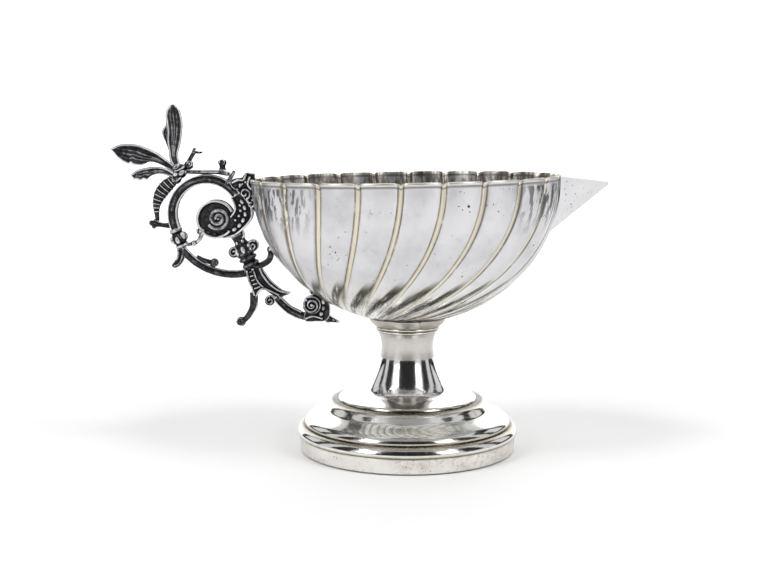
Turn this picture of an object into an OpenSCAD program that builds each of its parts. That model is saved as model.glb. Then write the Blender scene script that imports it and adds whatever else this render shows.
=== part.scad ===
// Swirl-fluted silver sauce boat on a spun foot, with a cast handle of scrolls and a winged insect.
// Millimetres. X runs from the handle to the spout, Z is up, and the origin is on the table
// under the middle of the foot.

/* [Bowl] */
// Half of the bowl's length at the rim, without the spout
bowl_half_length = 68; // [60:1:75]
// Half of the bowl's width at the rim
bowl_half_width = 56; // [50:1:62]
// Height of the rim over the table
rim_height = 122.4; // [118:0.2:126]
// Thickness of the silver sheet of the bowl
bowl_wall = 1.3; // [1:0.1:2]
// Number of flutes round the bowl
flute_count = 22; // [16:1:26]
// How far the flutes swirl, in degrees for each halving of the radius times 1.44
flute_swirl = 50; // [0:5:70]
// How far each flute bulges out
flute_bulge = 1.2; // [0:0.1:2]
// How deep the narrow groove between two flutes is
groove_depth = 0.9; // [0:0.1:1.5]
// How much higher the rim is at the spout than in the middle
rim_rise = 1.1; // [0:0.1:2]

/* [Spout] */
// How far the tip of the spout is from the axis
spout_reach = 89; // [84:1:96]
// Height of the tip of the spout over the table
spout_tip_height = 120.4; // [116:0.2:124]
// Half of the spout's width where it leaves the bowl
spout_half_width = 12.6; // [10:0.2:15]
// Thickness of the silver sheet of the spout
spout_wall = 1.2; // [1:0.1:2]

/* [Foot] */
// Radius of the foot on the table
foot_radius = 48; // [44:1:52]
// Height of the plain band round the foot
foot_band_height = 7.2; // [6:0.2:8]
// Thickness of the spun foot and stem
foot_wall = 1.2; // [1:0.1:1.6]
// Height of the seat that the bowl stands on
seat_height = 60.2; // [59:0.2:61]
// Radius of the seat's collar
seat_radius = 17.4; // [16.8:0.2:18]

/* [Fixing] */
// Diameter of the threaded stud under the bowl
stud_diameter = 6; // [5:0.5:6]
// Width of the nut across its flats
nut_flats = 10; // [9:0.5:11]

/* [Handle] */
// Radius of the middle of the big ring
ring_radius = 15.5; // [15:0.1:16]
// Width of the castings across the handle
handle_depth = 5.2; // [4.4:0.2:6]
// Thickness of the insect's wings
wing_thickness = 1; // [0.8:0.1:1.4]

/* [Hidden] */
$fn = 64;
silver = [0.80, 0.80, 0.78];
polished = [0.88, 0.88, 0.86];
dark = [0.22, 0.22, 0.24];

// ---- curves and swept shapes --------------------------------------------------------------------

// One value of a smooth curve through four values, t from the second to the third
function blend4(a, b, c, d, t) =
    0.5 * (2 * b + (c - a) * t + (2 * a - 5 * b + 4 * c - d) * t * t
           + (3 * b - a - 3 * c + d) * t * t * t);

// A smooth curve through hand-set points, each [x, z, radius]
function smooth_path(pts, steps) =
    let (n = len(pts))
    [for (i = [0 : n - 2])
        for (s = [0 : steps - (i == n - 2 ? 0 : 1)])
            blend4(pts[max(i - 1, 0)], pts[i], pts[i + 1], pts[min(i + 2, n - 1)], s / steps)];

// A round bar swept along [x, z, radius] points that lie in the handle's plane
module bar(path, sides = 10) {
    n = len(path);
    points = [for (i = [0 : n - 1])
        let (a = path[max(i - 1, 0)],
             b = path[min(i + 1, n - 1)],
             run = norm([b[0] - a[0], b[1] - a[1]]),
             tx = (b[0] - a[0]) / run,
             tz = (b[1] - a[1]) / run)
        for (k = [0 : sides - 1])
            let (turn = 360 * k / sides, r = path[i][2])
            [path[i][0] - r * cos(turn) * tz, r * sin(turn), path[i][1] + r * cos(turn) * tx]];
    walls = [for (i = [0 : n - 2])
        for (k = [0 : sides - 1])
            [i * sides + k, i * sides + (k + 1) % sides,
             (i + 1) * sides + (k + 1) % sides, (i + 1) * sides + k]];
    start = [[for (k = [sides - 1 : -1 : 0]) k]];
    end = [[for (k = [0 : sides - 1]) (n - 1) * sides + k]];
    polyhedron(points, concat(walls, start, end));
}

// A bar along a smooth curve
module curved_bar(pts, steps = 4, sides = 10) {
    bar(smooth_path(pts, steps), sides);
}

// A flat casting: an outline in the handle's plane, as thick as given
module plate(outline, thick) {
    rotate([90, 0, 0])
        linear_extrude(thick, center = true)
            polygon(outline);
}

// A turned piece: its radius-and-height outline stood on a point of the handle's plane
module turned(outline, at, toward) {
    lean = atan2(toward[0] - at[0], toward[1] - at[1]);
    translate([at[0], 0, at[1]])
        rotate([0, lean, 0])
            rotate_extrude()
                polygon(outline);
}

module ball(at, r, y = 0) {
    translate([at[0], y, at[1]])
        sphere(r, $fn = 32);
}

// ---- the bowl's surface -------------------------------------------------------------------------

bowl_depth = 64.4;
bowl_samples = [0, 0.1, 0.28, 0.5, 0.72, 0.9];
around = flute_count * len(bowl_samples);
levels = 15;
seat_turn = acos((rim_height - seat_height) / bowl_depth);
first_groove = 185.6;
oval = 2.75;

// Share of the way from one groove to the next, for the jth sample
function groove_share(j) = bowl_samples[j % len(bowl_samples)];
function groove_angle(j) =
    first_groove + 360 * (floor(j / len(bowl_samples)) + groove_share(j)) / flute_count;

// How far the surface stands out from the smooth oval, in the middle of a flute and at a groove
function flute_offset(share) =
    flute_bulge * (0.6 - pow(2 * share - 1, 2))
    - groove_depth * exp(-pow(min(share, 1 - share) / 0.07, 2));

// Point of the bowl: turn is 90 at the rim, shrink is the wall taken off every half-axis
function bowl_point(turn, j, shrink) =
    let (size = sin(turn),
         height = rim_height - (bowl_depth - shrink) * cos(turn),
         share = (height - seat_height) / (rim_height - seat_height),
         swirl = -flute_swirl * ln(size),
         base = groove_angle(j) - swirl,
         angle = base + oval * sin(2 * base),
         stand = flute_offset(groove_share(j)) * pow(size, 0.7),
         width = bowl_half_length + (bowl_half_width - bowl_half_length) * size,
         x = ((bowl_half_length - shrink) * size + stand) * cos(angle),
         y = ((width - shrink) * size + stand) * sin(angle),
         notch = 1.2 * pow(abs(2 * groove_share(j) - 1), 6) * pow(max(share, 0), 12))
    [x - rim_rise * share, y, height + rim_rise * share * x / bowl_half_length - notch];

function bowl_rings(shrink) =
    [for (i = [0 : levels])
        let (start = shrink == 0 ? seat_turn : seat_turn + 0.6)
        for (j = [0 : around - 1])
            bowl_point(start + (90 - start) * i / levels, j, shrink)];

function ring_quads(first, outside) =
    [for (i = [0 : levels - 1])
        for (j = [0 : around - 1])
            let (a = first + i * around + j,
                 b = first + i * around + (j + 1) % around)
            outside ? [a, a + around, b + around, b] : [a, b, b + around, a + around]];

// The bowl with nothing taken out, and a straight wall over its rim: it copes what joins it
module bowl_block() {
    top = levels * around;
    rings = bowl_rings(0);
    raised = [for (j = [0 : around - 1]) rings[top + j] + [0, 0, 6]];
    all_quads = concat(ring_quads(0, true),
        [for (j = [0 : around - 1])
            let (k = (j + 1) % around)
            [top + j, top + around + j, top + around + k, top + k]]);
    polyhedron(concat(rings, raised), concat(all_quads,
        [[for (j = [0 : around - 1]) j]],
        [[for (j = [around - 1 : -1 : 0]) top + around + j]]));
}

// The same swell as a round turned block: it copes the castings that touch the handle end
module handle_end_block() {
    crest = flute_bulge * 0.6 - 0.1;
    turns = [for (i = [0 : 16]) seat_turn + (90 - seat_turn) * i / 16];
    side = [for (turn = turns)
        let (height = rim_height - bowl_depth * cos(turn),
             share = (height - seat_height) / (rim_height - seat_height))
        [bowl_half_length * sin(turn) + crest * pow(sin(turn), 0.7) + rim_rise * share,
         height - rim_rise * share * sin(turn)]];
    rotate_extrude($fn = 256)
        polygon(concat(side,
            [[side[16][0], rim_height + 6], [0, rim_height + 6], [0, side[0][1]]]));
}

// ---- foot ---------------------------------------------------------------------------------------

foot_outline = [
    [foot_radius + 0.8, foot_band_height],
    [foot_radius + 1.7, foot_band_height + 0.6],
    [foot_radius + 1.8, foot_band_height + 1.5],
    [foot_radius + 1.4, foot_band_height + 2.7],
    [foot_radius + 0.5, foot_band_height + 3.9],
    [foot_radius - 0.8, foot_band_height + 4.7],
    [foot_radius - 1.5, foot_band_height + 4.8],
    [foot_radius - 1.6, foot_band_height + 5.4],
    [foot_radius - 1.8, foot_band_height + 6.2],
    [foot_radius - 2.5, foot_band_height + 7.4],
    [foot_radius - 3.8, foot_band_height + 8.6],
    [foot_radius - 5.9, foot_band_height + 9.8],
    [foot_radius - 8.2, foot_band_height + 10.7],
    [foot_radius - 9.9, foot_band_height + 11.5],
    [foot_radius - 10.7, foot_band_height + 12.3],
    [foot_radius - 11.1, foot_band_height + 13.3],
    [foot_radius - 11.6, foot_band_height + 14.3],
    [foot_radius - 12.4, foot_band_height + 15.2],
    [foot_radius - 13.6, foot_band_height + 15.9],
    [foot_radius - 15, foot_band_height + 16.2],
    [foot_radius - 16, foot_band_height + 16.5],
    [foot_radius - 21, foot_band_height + 17.6],
    [foot_radius - 26, foot_band_height + 18.8]];

module foot_band() {
    color(silver)
        rotate_extrude()
            polygon([[foot_radius - 2.4, 0],
                     [foot_radius, 0],
                     [foot_radius + 0.4, 0.5],
                     [foot_radius + 0.8, foot_band_height - 0.5],
                     [foot_radius + 0.5, foot_band_height],
                     [foot_radius - 2.4, foot_band_height]]);
}

// The hollow side of the spun dome: it follows the mouldings only roughly
foot_hollow = [
    [foot_radius - 26, foot_band_height + 18.8 - foot_wall],
    [foot_radius - 21, foot_band_height + 17.5 - foot_wall],
    [foot_radius - 15.2, foot_band_height + 15],
    [foot_radius - 13.4, foot_band_height + 14],
    [foot_radius - 12.4, foot_band_height + 12.2],
    [foot_radius - 11.4, foot_band_height + 10.6],
    [foot_radius - 8.6, foot_band_height + 9.2],
    [foot_radius - 5.4, foot_band_height + 7.6],
    [foot_radius - 3.6, foot_band_height + 5.6],
    [foot_radius - 3, foot_band_height + 3.6],
    [foot_radius - 1.4, foot_band_height + 2.4],
    [foot_radius - 0.6, foot_band_height + 1.2],
    [foot_radius - 1.4, foot_band_height]];

// Spun in one piece: a half-round bead, a full swell, a cove and a round-edged sloping top
module foot_dome() {
    color(polished)
        rotate_extrude()
            polygon(concat(foot_outline, foot_hollow));
}

stem_foot = foot_band_height + 18.8;
stem_top = seat_height - 6.6;
stem_outline = [
    [22, stem_foot],
    [19.3, stem_foot + 1.1],
    [17, stem_foot + 3.6],
    [15.2, stem_foot + 6.8],
    [13.6, stem_foot + 10.6],
    [12.3, stem_foot + 14.8],
    [11.6, stem_foot + 19.4],
    [11.7, stem_foot + 22.8],
    [12.3, stem_foot + 25.6],
    [13.2, stem_top]];
stud_radius = stud_diameter / 2;

// Spun spool with a flat closed top that the nut pulls on
module stem() {
    n = len(stem_outline);
    color(polished)
        rotate_extrude()
            polygon(concat(stem_outline,
                [[stud_radius + 0.3, stem_top],
                 [stud_radius + 0.3, stem_top - foot_wall]],
                [for (i = [n - 2 : -1 : 0])
                    [stem_outline[i][0] - foot_wall,
                     min(stem_outline[i][1], stem_top - foot_wall)]]));
}

module bead_ring() {
    color(polished)
        rotate_extrude()
            difference() {
                union() {
                    translate([0, stem_top])
                        square([13.4, 3]);
                    translate([13.2, stem_top + 0.8])
                        circle(0.8);
                    translate([13.9, stem_top + 2.2])
                        circle(0.8);
                }
                translate([-1, stem_top - 1])
                    square([stud_radius + 1.3, 6]);
            }
}

module seat_collar() {
    low = stem_top + 3;
    color(silver)
        rotate_extrude()
            polygon([[stud_radius + 0.3, low],
                     [15, low],
                     [seat_radius - 1.2, low + 0.9],
                     [seat_radius - 0.3, seat_height - 0.6],
                     [seat_radius, seat_height],
                     [9.2, seat_height],
                     [9.2, seat_height - 1.4],
                     [stud_radius + 0.3, seat_height - 1.4]]);
}

// ---- fixing of the bowl -------------------------------------------------------------------------

washer_height = 1;
nut_height = 5;

module bowl_stud() {
    color("peru")
        union() {
            translate([0, 0, seat_height - 1.4])
                cylinder(r = 9, h = 1.4);
            translate([0, 0, stem_top - foot_wall - washer_height - nut_height - 1.6])
                cylinder(r = stud_radius, h = 14);
        }
}

module stud_washer() {
    color("darkgoldenrod")
        translate([0, 0, stem_top - foot_wall - washer_height])
            difference() {
                cylinder(r = 8, h = washer_height);
                translate([0, 0, -1])
                    cylinder(r = stud_radius + 0.2, h = washer_height + 2);
            }
}

module stud_nut() {
    color("goldenrod")
        translate([0, 0, stem_top - foot_wall - washer_height - nut_height])
            difference() {
                cylinder(r = nut_flats / 2 / cos(30), h = nut_height, $fn = 6);
                translate([0, 0, -1])
                    cylinder(r = stud_radius, h = nut_height + 2);
            }
}

// ---- bowl and spout -----------------------------------------------------------------------------

// The spout's keel, if it ran on into the bowl, would reach this place
keel_root = [56, 92.2];
lip_height = rim_height + 0.8 * rim_rise;
cut_steps = 6;
cut_bottom = keel_root[1] + 7.6;

// Half-width of the notch in the bowl behind the spout, from its point up to the rim
function notch_half_width(z) =
    (spout_half_width - 2.2) * (1 - pow(max(0, (rim_height - z) / (rim_height - cut_bottom)), 1.5));

module bowl() {
    top = levels * around;
    inner = (levels + 1) * around;
    rim = [for (j = [0 : around - 1])
        let (k = (j + 1) % around)
        [top + j, inner + top + j, inner + top + k, top + k]];
    heights = [for (i = [0 : cut_steps]) cut_bottom + (rim_height - cut_bottom) * i / cut_steps];
    color(silver)
        difference() {
            polyhedron(concat(bowl_rings(0), bowl_rings(bowl_wall)),
                concat(ring_quads(0, true), ring_quads(inner, false), rim,
                    [[for (j = [0 : around - 1]) j]],
                    [[for (j = [around - 1 : -1 : 0]) inner + j]]));
            rotate([90, 0, 90])
                translate([0, 0, 40])
                    linear_extrude(50)
                        polygon(concat(
                            [for (z = heights) [notch_half_width(z), z]],
                            [[spout_half_width - 2.2, rim_height + 8],
                             [2.2 - spout_half_width, rim_height + 8]],
                            [for (i = [cut_steps : -1 : 1])
                                [-notch_half_width(heights[i]), heights[i]]]));
        }
}

// The beak: straight lines run from its cut in the bowl to its tip, in sheet of one thickness
module spout_shell() {
    half = 9;
    steps = 6;
    sections = 2 * half + 1;
    count = (steps + 1) * sections;
    last = steps * sections;
    width = function(s) (1 - pow(1 - abs(s), 1.5)) * sign(s);
    outer = [for (i = [0 : steps])
        for (k = [-half : half])
            let (s = k / half, u = i / steps,
                 x = keel_root[0] + 8.4 * pow(abs(s), 0.7))
            [x + (spout_reach - x) * u,
             spout_half_width * width(s) * (1 - u) + 0.9 * s * u,
             (lip_height - (lip_height - keel_root[1]) * (1 - abs(s))) * (1 - u)
             + (spout_tip_height - 1.2 * (1 - abs(s))) * u]];
    inner = [for (i = [0 : steps])
        for (k = [-half : half])
            let (s = k / half, u = i / steps,
                 p = outer[i * sections + k + half],
                 half_width = spout_half_width * (1 - u) + 0.9 * u)
            [p[0] - 0.9 * u,
             p[1] * (1 - min(0.7, spout_wall / half_width)),
             p[2] + spout_wall * (1.5 - 0.9 * u) * (1 - abs(s))]];
    walls = [for (i = [0 : steps - 1])
        for (k = [0 : sections - 2])
            let (a = i * sections + k)
            each [[a, a + 1, a + sections + 1],
                  [a, a + sections + 1, a + sections],
                  [count + a, count + a + sections + 1, count + a + 1],
                  [count + a, count + a + sections, count + a + sections + 1]]];
    ends = [for (k = [0 : sections - 2])
        each [[k, count + k, count + k + 1],
              [k, count + k + 1, k + 1],
              [last + k, last + k + 1, count + last + k + 1],
              [last + k, count + last + k + 1, count + last + k]]];
    edges = [for (i = [0 : steps - 1])
        let (a = i * sections, b = a + sections - 1)
        each [[a, a + sections, count + a + sections],
              [a, count + a + sections, count + a],
              [b, count + b, count + b + sections],
              [b, count + b + sections, b + sections]]];
    polyhedron(concat(outer, inner), concat(walls, ends, edges));
}

module spout() {
    color(silver)
        difference() {
            spout_shell();
            bowl_block();
        }
}

// ---- handle: ring, strap and bracket ------------------------------------------------------------

ring_centre = [-89.2, 106.4];
ring_end = 32;
bar_half = handle_depth / 2;

// The big ring's bar, oval with chamfered corners, through a number of degrees
module ring_bar(from, sweep) {
    half_w = 1.9;
    translate([ring_centre[0], 0, ring_centre[1]])
        rotate([90, 0, 0])
            rotate([0, 0, from])
                rotate_extrude(angle = sweep)
                    translate([ring_radius, 0])
                        polygon([[-half_w, -bar_half * 0.5], [-half_w * 0.6, -bar_half],
                                 [half_w * 0.6, -bar_half], [half_w, -bar_half * 0.5],
                                 [half_w, bar_half * 0.5], [half_w * 0.6, bar_half],
                                 [-half_w * 0.6, bar_half], [-half_w, bar_half * 0.5]]);
}

module handle_ring() {
    color(dark)
        ring_bar(ring_end, 207 - ring_end);
}

module thumb_rest() {
    color(dark)
        difference() {
            plate([[-99.1, 124.2], [-92.1, 123.8], [-85, 123.8], [-79.5, 123], [-79.1, 125.1],
                   [-85, 125.9], [-92.1, 125.9], [-99.1, 125.7]], handle_depth);
            ring_bar(0, 200);
        }
}

module thumb_knob() {
    color(dark)
        turned([[0, 0], [1.9, 0], [1.5, 0.7], [1.3, 1.8], [1.6, 2.5], [1.9, 3.3], [1.7, 4.2],
                [0.9, 4.7], [0, 4.9]], [-82.1, 125.6], [-82.1, 131.1]);
}

module clasp_band() {
    color(dark)
        difference() {
            turned([[0, 0], [4, 0], [4, 1.5], [0, 1.5]], [-79.6, 122.2], [-78.6, 121.6]);
            ring_bar(0, 200);
            thumb_rest();
        }
}

bracket_outline = [
    [-77.3, 117.8], [-77.3, 122], [-74.6, 122.5], [-72.6, 122.9], [-70.8, 124.9], [-62.7, 124.2],
    [-60.7, 115.5], [-60.7, 107.8], [-68, 107], [-69.4, 109.9], [-71.6, 113.2], [-74.2, 115.8]];

module rim_bracket() {
    color(dark)
        difference() {
            rotate([90, 0, 0])
                linear_extrude(handle_depth + 1.6, center = true)
                    difference() {
                        polygon(bracket_outline);
                        translate(ring_centre)
                            circle(ring_radius + 1.9);
                    }
            handle_end_block();
        }
}

// ---- handle: volute and what hangs on it --------------------------------------------------------

volute_centre = [-85.2, 103.6];
volute_radius = 8.7;
branch_depth = handle_depth + 0.8;

module scroll_branch() {
    inner_r = ring_radius - 1.9;
    outer_r = ring_radius + 1.9;
    end_way = [cos(ring_end), sin(ring_end)];
    color(dark)
        union() {
            translate([volute_centre[0], 0, volute_centre[1]])
                rotate([90, 0, 0])
                    cylinder(r = volute_radius, h = branch_depth, center = true);
            plate([ring_centre + inner_r * end_way, ring_centre + outer_r * end_way,
                   [-71.6, 113.1], [-69.4, 109.8], [-68.7, 106.8], [-69.6, 103.8],
                   [-71.6, 100.7], [-75.7, 96.9], [-80.5, 95], [-82.9, 98.3], [-79.3, 102.9],
                   [-75.9, 107], [-76.1, 110.5]], branch_depth - 0.6);
        }
}

// A raised wire that coils in on both faces of the volute
module volute_spirals() {
    turns = 2;
    steps = 32;
    path = [for (i = [0 : steps])
        let (turn = 220 + 360 * turns * i / steps, r = 5.2 - 4.3 * i / steps)
        [volute_centre[0] + 0.9 + r * cos(turn), volute_centre[1] + 0.9 + r * sin(turn), 0.6]];
    color(dark)
        difference() {
            for (face = [-1, 1])
                translate([0, face * (branch_depth / 2 + 0.2), 0])
                    bar(path, 6);
            translate([volute_centre[0] - 8, -branch_depth / 2, volute_centre[1] - 8])
                cube([16, branch_depth, 16]);
        }
}

module blossom_twig() {
    color(dark)
        difference() {
            union() {
                curved_bar([[-98.5, 92.6, 0.9], [-96.5, 93.1, 0.8], [-93.7, 94.1, 0.9],
                            [-92.1, 96.5, 1], [-91.7, 98.7, 1.1]], 2, 8);
                ball([-95.3, 93.4], 1.3);
                ball([-92.1, 98.9], 2, -1.6);
            }
            scroll_branch();
            collar_knop();
        }
}

// ---- handle: knop, arc and buds -----------------------------------------------------------------

knop_top = [-103.4, 99.3];
knop_foot = [-100.1, 91.3];
knop_length = norm(knop_foot - knop_top);

module collar_knop() {
    color(dark)
        difference() {
            turned([[0, -0.6], [2.7, -0.6], [3, 0.2], [2.8, 1], [2.3, 1.5], [3.3, 2.6],
                    [4.2, 4.2], [3.4, 5.8], [2.4, 6.6], [2.7, 7], [3, 7.8], [2.6, knop_length],
                    [0, knop_length]], knop_top, knop_foot);
            ring_bar(ring_end, 207 - ring_end);
            arc_rod();
        }
}

module collar_leaf() {
    color(dark)
        difference() {
            plate([[-103, 91.8], [-99.1, 90.6], [-99.8, 86.7], [-100.1, 83.9], [-101.4, 82.5],
                   [-102.8, 84.3], [-104.4, 82.2], [-105.4, 83.5], [-103.2, 85.7],
                   [-102.8, 88.3]], 3);
            collar_knop();
            arc_rod();
        }
}

// The lower arc's round rod, bent to a part of a circle
module arc_rod() {
    translate([-78, 0, 107.3])
        rotate([90, 0, 0])
            rotate([0, 0, 213])
                rotate_extrude(angle = 71)
                    translate([28.2, 0])
                        circle(1.4);
}

module lower_arc() {
    color(dark)
        arc_rod();
}

module arc_bud() {
    color(dark)
        difference() {
            union() {
                curved_bar([[-94.3, 87.1, 0.7], [-91.2, 85.5, 0.8], [-87.6, 84.4, 0.9]], 3, 8);
                ball([-86.3, 84.4], 1.8);
                ball([-87.2, 82.5], 1);
            }
            arc_rod();
        }
}

// ---- handle: urn, bands and side hook -----------------------------------------------------------

urn_top = [-75.5, 95.6];
urn_foot = [-71.7, 87.3];
urn_length = norm(urn_foot - urn_top);
band_end = urn_foot + 5.2 * (urn_foot - urn_top) / urn_length;

module urn() {
    color(dark)
        difference() {
            turned([[0, -2], [3, -2], [2.6, 0.6], [2.5, 2], [3.4, 4], [4.4, 6], [4.4, 7.4],
                    [3.6, urn_length], [0, urn_length]], urn_top, urn_foot);
            scroll_branch();
        }
}

module urn_scrolls() {
    color(dark)
        difference() {
            union() {
                ball([-77.5, 89.2], 2.4);
                ball([-69, 92.2], 2.6);
            }
            urn();
        }
}

module urn_bands() {
    color(dark)
        difference() {
            turned([[0, 0], [3.9, 0], [4.2, 0.8], [3.8, 1.7], [3, 2.1], [3, 2.7], [3.6, 3.2],
                    [3.8, 4], [3.4, 5.2], [0, 5.2]], urn_foot, band_end);
            arc_rod();
        }
}

module side_hook() {
    color(dark)
        difference() {
            union() {
                curved_bar([[-68.4, 83.1, 1.4], [-65.5, 83.3, 1.4], [-62.1, 85.3, 1.4],
                            [-60.9, 88.1, 1.4], [-61.1, 90.4, 1.3]], 4, 10);
                ball([-60.9, 90.4], 1.8);
            }
            urn_bands();
            handle_end_block();
        }
}

// ---- handle: leg and branches -------------------------------------------------------------------

leaf_outline = [
    [-69.8, 83.1], [-65.6, 82.6], [-64.5, 81.2], [-61.6, 77], [-58.1, 73.7], [-55.8, 72.1],
    [-52.4, 71], [-55.2, 69.5], [-58.2, 68], [-61.7, 70.8], [-64, 72.7], [-65.9, 72],
    [-67.3, 70.3], [-68.3, 68.9], [-70, 73.5], [-71.2, 76.5], [-72.6, 79], [-72.9, 81.5]];

module leaf_branch() {
    color(dark)
        difference() {
            plate(leaf_outline, 4.4);
            urn_bands();
            arc_rod();
        }
}

module ball_leg() {
    color(dark)
        difference() {
            union() {
                curved_bar([[-69.4, 71.6, 1.5], [-68.9, 68.9, 1.9], [-69.3, 65, 1.7],
                            [-70.6, 62.1, 1.4], [-72.5, 59.6, 1.3], [-74.2, 58.4, 1.3]], 4, 12);
                ball([-74.8, 58], 2.2);
            }
            leaf_branch();
        }
}

module small_volute() {
    color(dark)
        difference() {
            translate([-61.7, 0, 67.4])
                rotate([90, 0, 0])
                    cylinder(r = 2.4, h = 4, center = true);
            leaf_branch();
        }
}

module tail_branch() {
    color(dark)
        difference() {
            curved_bar([[-58.2, 69.7, 1.9], [-55.6, 67, 1.9], [-52.2, 63.8, 1.9], [-48.5, 61.6, 1.9],
                        [-44.5, 61, 1.9]], 4, 12);
            leaf_branch();
            small_volute();
            rosette();
        }
}

module rosette() {
    color(dark)
        difference() {
            union() {
                translate([-43, 0, 66.4])
                    rotate([90, 0, 0])
                        cylinder(r = 4.2, h = 7.6, center = true);
                plate([[-46.1, 63.2], [-46.1, 58.9], [-37, 58.9], [-34.3, 62.6], [-34.3, 72.9],
                       [-43.5, 72.9]], 6);
                ball([-42.2, 72.7], 2.1);
            }
            handle_end_block();
        }
}

module pointed_tip() {
    color(dark)
        difference() {
            plate([[-37.4, 62.4], [-36.6, 62.2], [-30.7, 58.2], [-37, 58.3]], 3.4);
            rosette();
            handle_end_block();
        }
}

// ---- insect -------------------------------------------------------------------------------------

module insect_thorax() {
    color(dark)
        difference() {
            union() {
                ball([-101, 125.3], 3.5);
                ball([-103, 122.2], 2.9);
            }
            ring_bar(0, 200);
            thumb_rest();
        }
}

module insect_head() {
    color(dark)
        difference() {
            union() {
                ball([-97, 127.9], 2.3);
                ball([-96.2, 128.9], 1, -1.7);
                ball([-96.2, 128.9], 1, 1.7);
            }
            insect_thorax();
        }
}

// Two feelers that part to either side of the handle's plane
module insect_antennae() {
    color(dark)
        difference() {
            for (side = [-1, 1])
                translate([-97.1, 0.9 * side, 129.1])
                    rotate([-14 * side, 0, 0])
                        curved_bar([[0, 0, 0.6], [1.2, 2, 0.55], [2.4, 4, 0.5],
                                    [3.4 + side, 4.4 - 0.8 * side, 0.5],
                                    [4.6 + side, 4.6 - 0.8 * side, 0.5]], 3, 6);
            insect_head();
        }
}

module insect_abdomen() {
    color(dark)
        difference() {
            curved_bar([[-104.4, 121, 2.2], [-106.6, 118.6, 3.1], [-109, 115.3, 3.3],
                        [-111, 111.3, 2.4], [-111.9, 108, 1.4], [-111.9, 104.8, 1],
                        [-111.6, 102.3, 0.9]], 4, 12);
            insect_thorax();
            tail_sprig();
            ring_bar(100, 100);
        }
}

module tail_sprig() {
    color(dark)
        difference() {
            plate([[-104.2, 102.9], [-107.7, 102.3], [-110.3, 103.1], [-112.3, 104], [-114.3, 102.3],
                   [-113.7, 101.3], [-112.9, 99.7], [-110.3, 100.9], [-107.9, 100.7], [-104.2, 100.3]],
                  2.6);
            ring_bar(100, 107);
        }
}

// A flat cast wing stands out from the thorax, turned away from the handle's plane at its root
wing_root = [-103.2, 125.9];

module wing(outline, turn, off_plane) {
    color(dark)
        difference() {
            translate([wing_root[0], off_plane, wing_root[1]])
                rotate(turn)
                    translate([-wing_root[0], 0, -wing_root[1]])
                        rotate([90, 0, 0])
                            linear_extrude(wing_thickness, center = true)
                                polygon(outline);
            insect_thorax();
        }
}

module near_fore_wing() {
    wing([[-101.8, 126.6], [-106.8, 130.6], [-110.5, 133.5], [-115.5, 135.9], [-120.9, 137.5],
          [-126.7, 137.3], [-130.3, 135.3], [-129.9, 133.8], [-127.4, 131], [-124.6, 129.4],
          [-122, 128], [-119, 127.8], [-116.6, 128.6], [-114.4, 129], [-109.2, 127.9],
          [-103.2, 124.6]], [0, 0, 7], -1.4);
}

module near_hind_wing() {
    wing([[-103.2, 125], [-107.2, 126.8], [-111.2, 127.4], [-115.8, 127], [-119.4, 126],
          [-121.9, 124.2], [-121.2, 122.4], [-118.6, 121.6], [-115.6, 122.4], [-112.4, 123.8],
          [-108.2, 124], [-104, 122.6]], [0, 0, 4], -2.6);
}

module far_fore_wing() {
    wing([[-100, 126.6], [-101.4, 129.9], [-101.8, 133], [-100.8, 136.6], [-100.2, 140.2],
          [-99.7, 145], [-100.2, 149.4], [-101.4, 152.8], [-103, 154.6], [-105, 154.2],
          [-106.4, 151.8], [-106.6, 148], [-106, 144], [-106.2, 140], [-105.8, 135],
          [-105.2, 130.5], [-103, 126]], [-7, 0, 0], 1.4);
}

module far_hind_wing() {
    wing([[-101.8, 126], [-103.4, 131], [-104, 136], [-104.6, 141], [-105.4, 145],
          [-106.6, 147.6], [-107.6, 146.8], [-108.6, 145], [-109.1, 142.2], [-108.2, 139.4],
          [-107, 137.2], [-106.4, 134], [-105.6, 130], [-103.6, 125.6]], [-4, 0, 0], 2.6);
}

foot_band();
foot_dome();
stem();
bead_ring();
seat_collar();
bowl_stud();
stud_washer();
stud_nut();
bowl();
spout();
rim_bracket();
handle_ring();
clasp_band();
thumb_rest();
thumb_knob();
scroll_branch();
volute_spirals();
blossom_twig();
collar_knop();
collar_leaf();
lower_arc();
arc_bud();
urn();
urn_scrolls();
urn_bands();
side_hook();
ball_leg();
leaf_branch();
small_volute();
tail_branch();
rosette();
pointed_tip();
insect_thorax();
insect_head();
insect_antennae();
insect_abdomen();
tail_sprig();
near_fore_wing();
near_hind_wing();
far_fore_wing();
far_hind_wing();
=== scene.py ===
import math

import bmesh
import bpy
import numpy as np
from mathutils import Matrix, Vector


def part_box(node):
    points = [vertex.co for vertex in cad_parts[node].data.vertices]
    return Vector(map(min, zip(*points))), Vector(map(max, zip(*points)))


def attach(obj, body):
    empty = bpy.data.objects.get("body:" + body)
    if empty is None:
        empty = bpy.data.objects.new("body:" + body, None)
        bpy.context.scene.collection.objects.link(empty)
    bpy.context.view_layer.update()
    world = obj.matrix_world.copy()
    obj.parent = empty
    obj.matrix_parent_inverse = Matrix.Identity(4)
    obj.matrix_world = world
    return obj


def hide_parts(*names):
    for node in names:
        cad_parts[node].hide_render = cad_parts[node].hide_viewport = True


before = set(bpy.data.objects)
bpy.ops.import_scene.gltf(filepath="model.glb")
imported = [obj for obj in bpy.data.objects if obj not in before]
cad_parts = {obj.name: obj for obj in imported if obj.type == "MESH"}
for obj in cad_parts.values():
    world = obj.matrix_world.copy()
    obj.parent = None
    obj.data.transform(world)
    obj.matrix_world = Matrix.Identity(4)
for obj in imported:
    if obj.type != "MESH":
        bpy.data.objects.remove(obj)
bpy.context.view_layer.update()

# ---- Table, light and camera -------------------------------------------------------------------
# The boat stands on a plain white table in a white tent that is open to a dark room in front.
# Soft boxes in that opening, dark flags and grey sheets at the sides, and a grey ceiling with three
# lamps show in the polished silver. Two wide, soft lamps from behind the camera cast the shadows.

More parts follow.
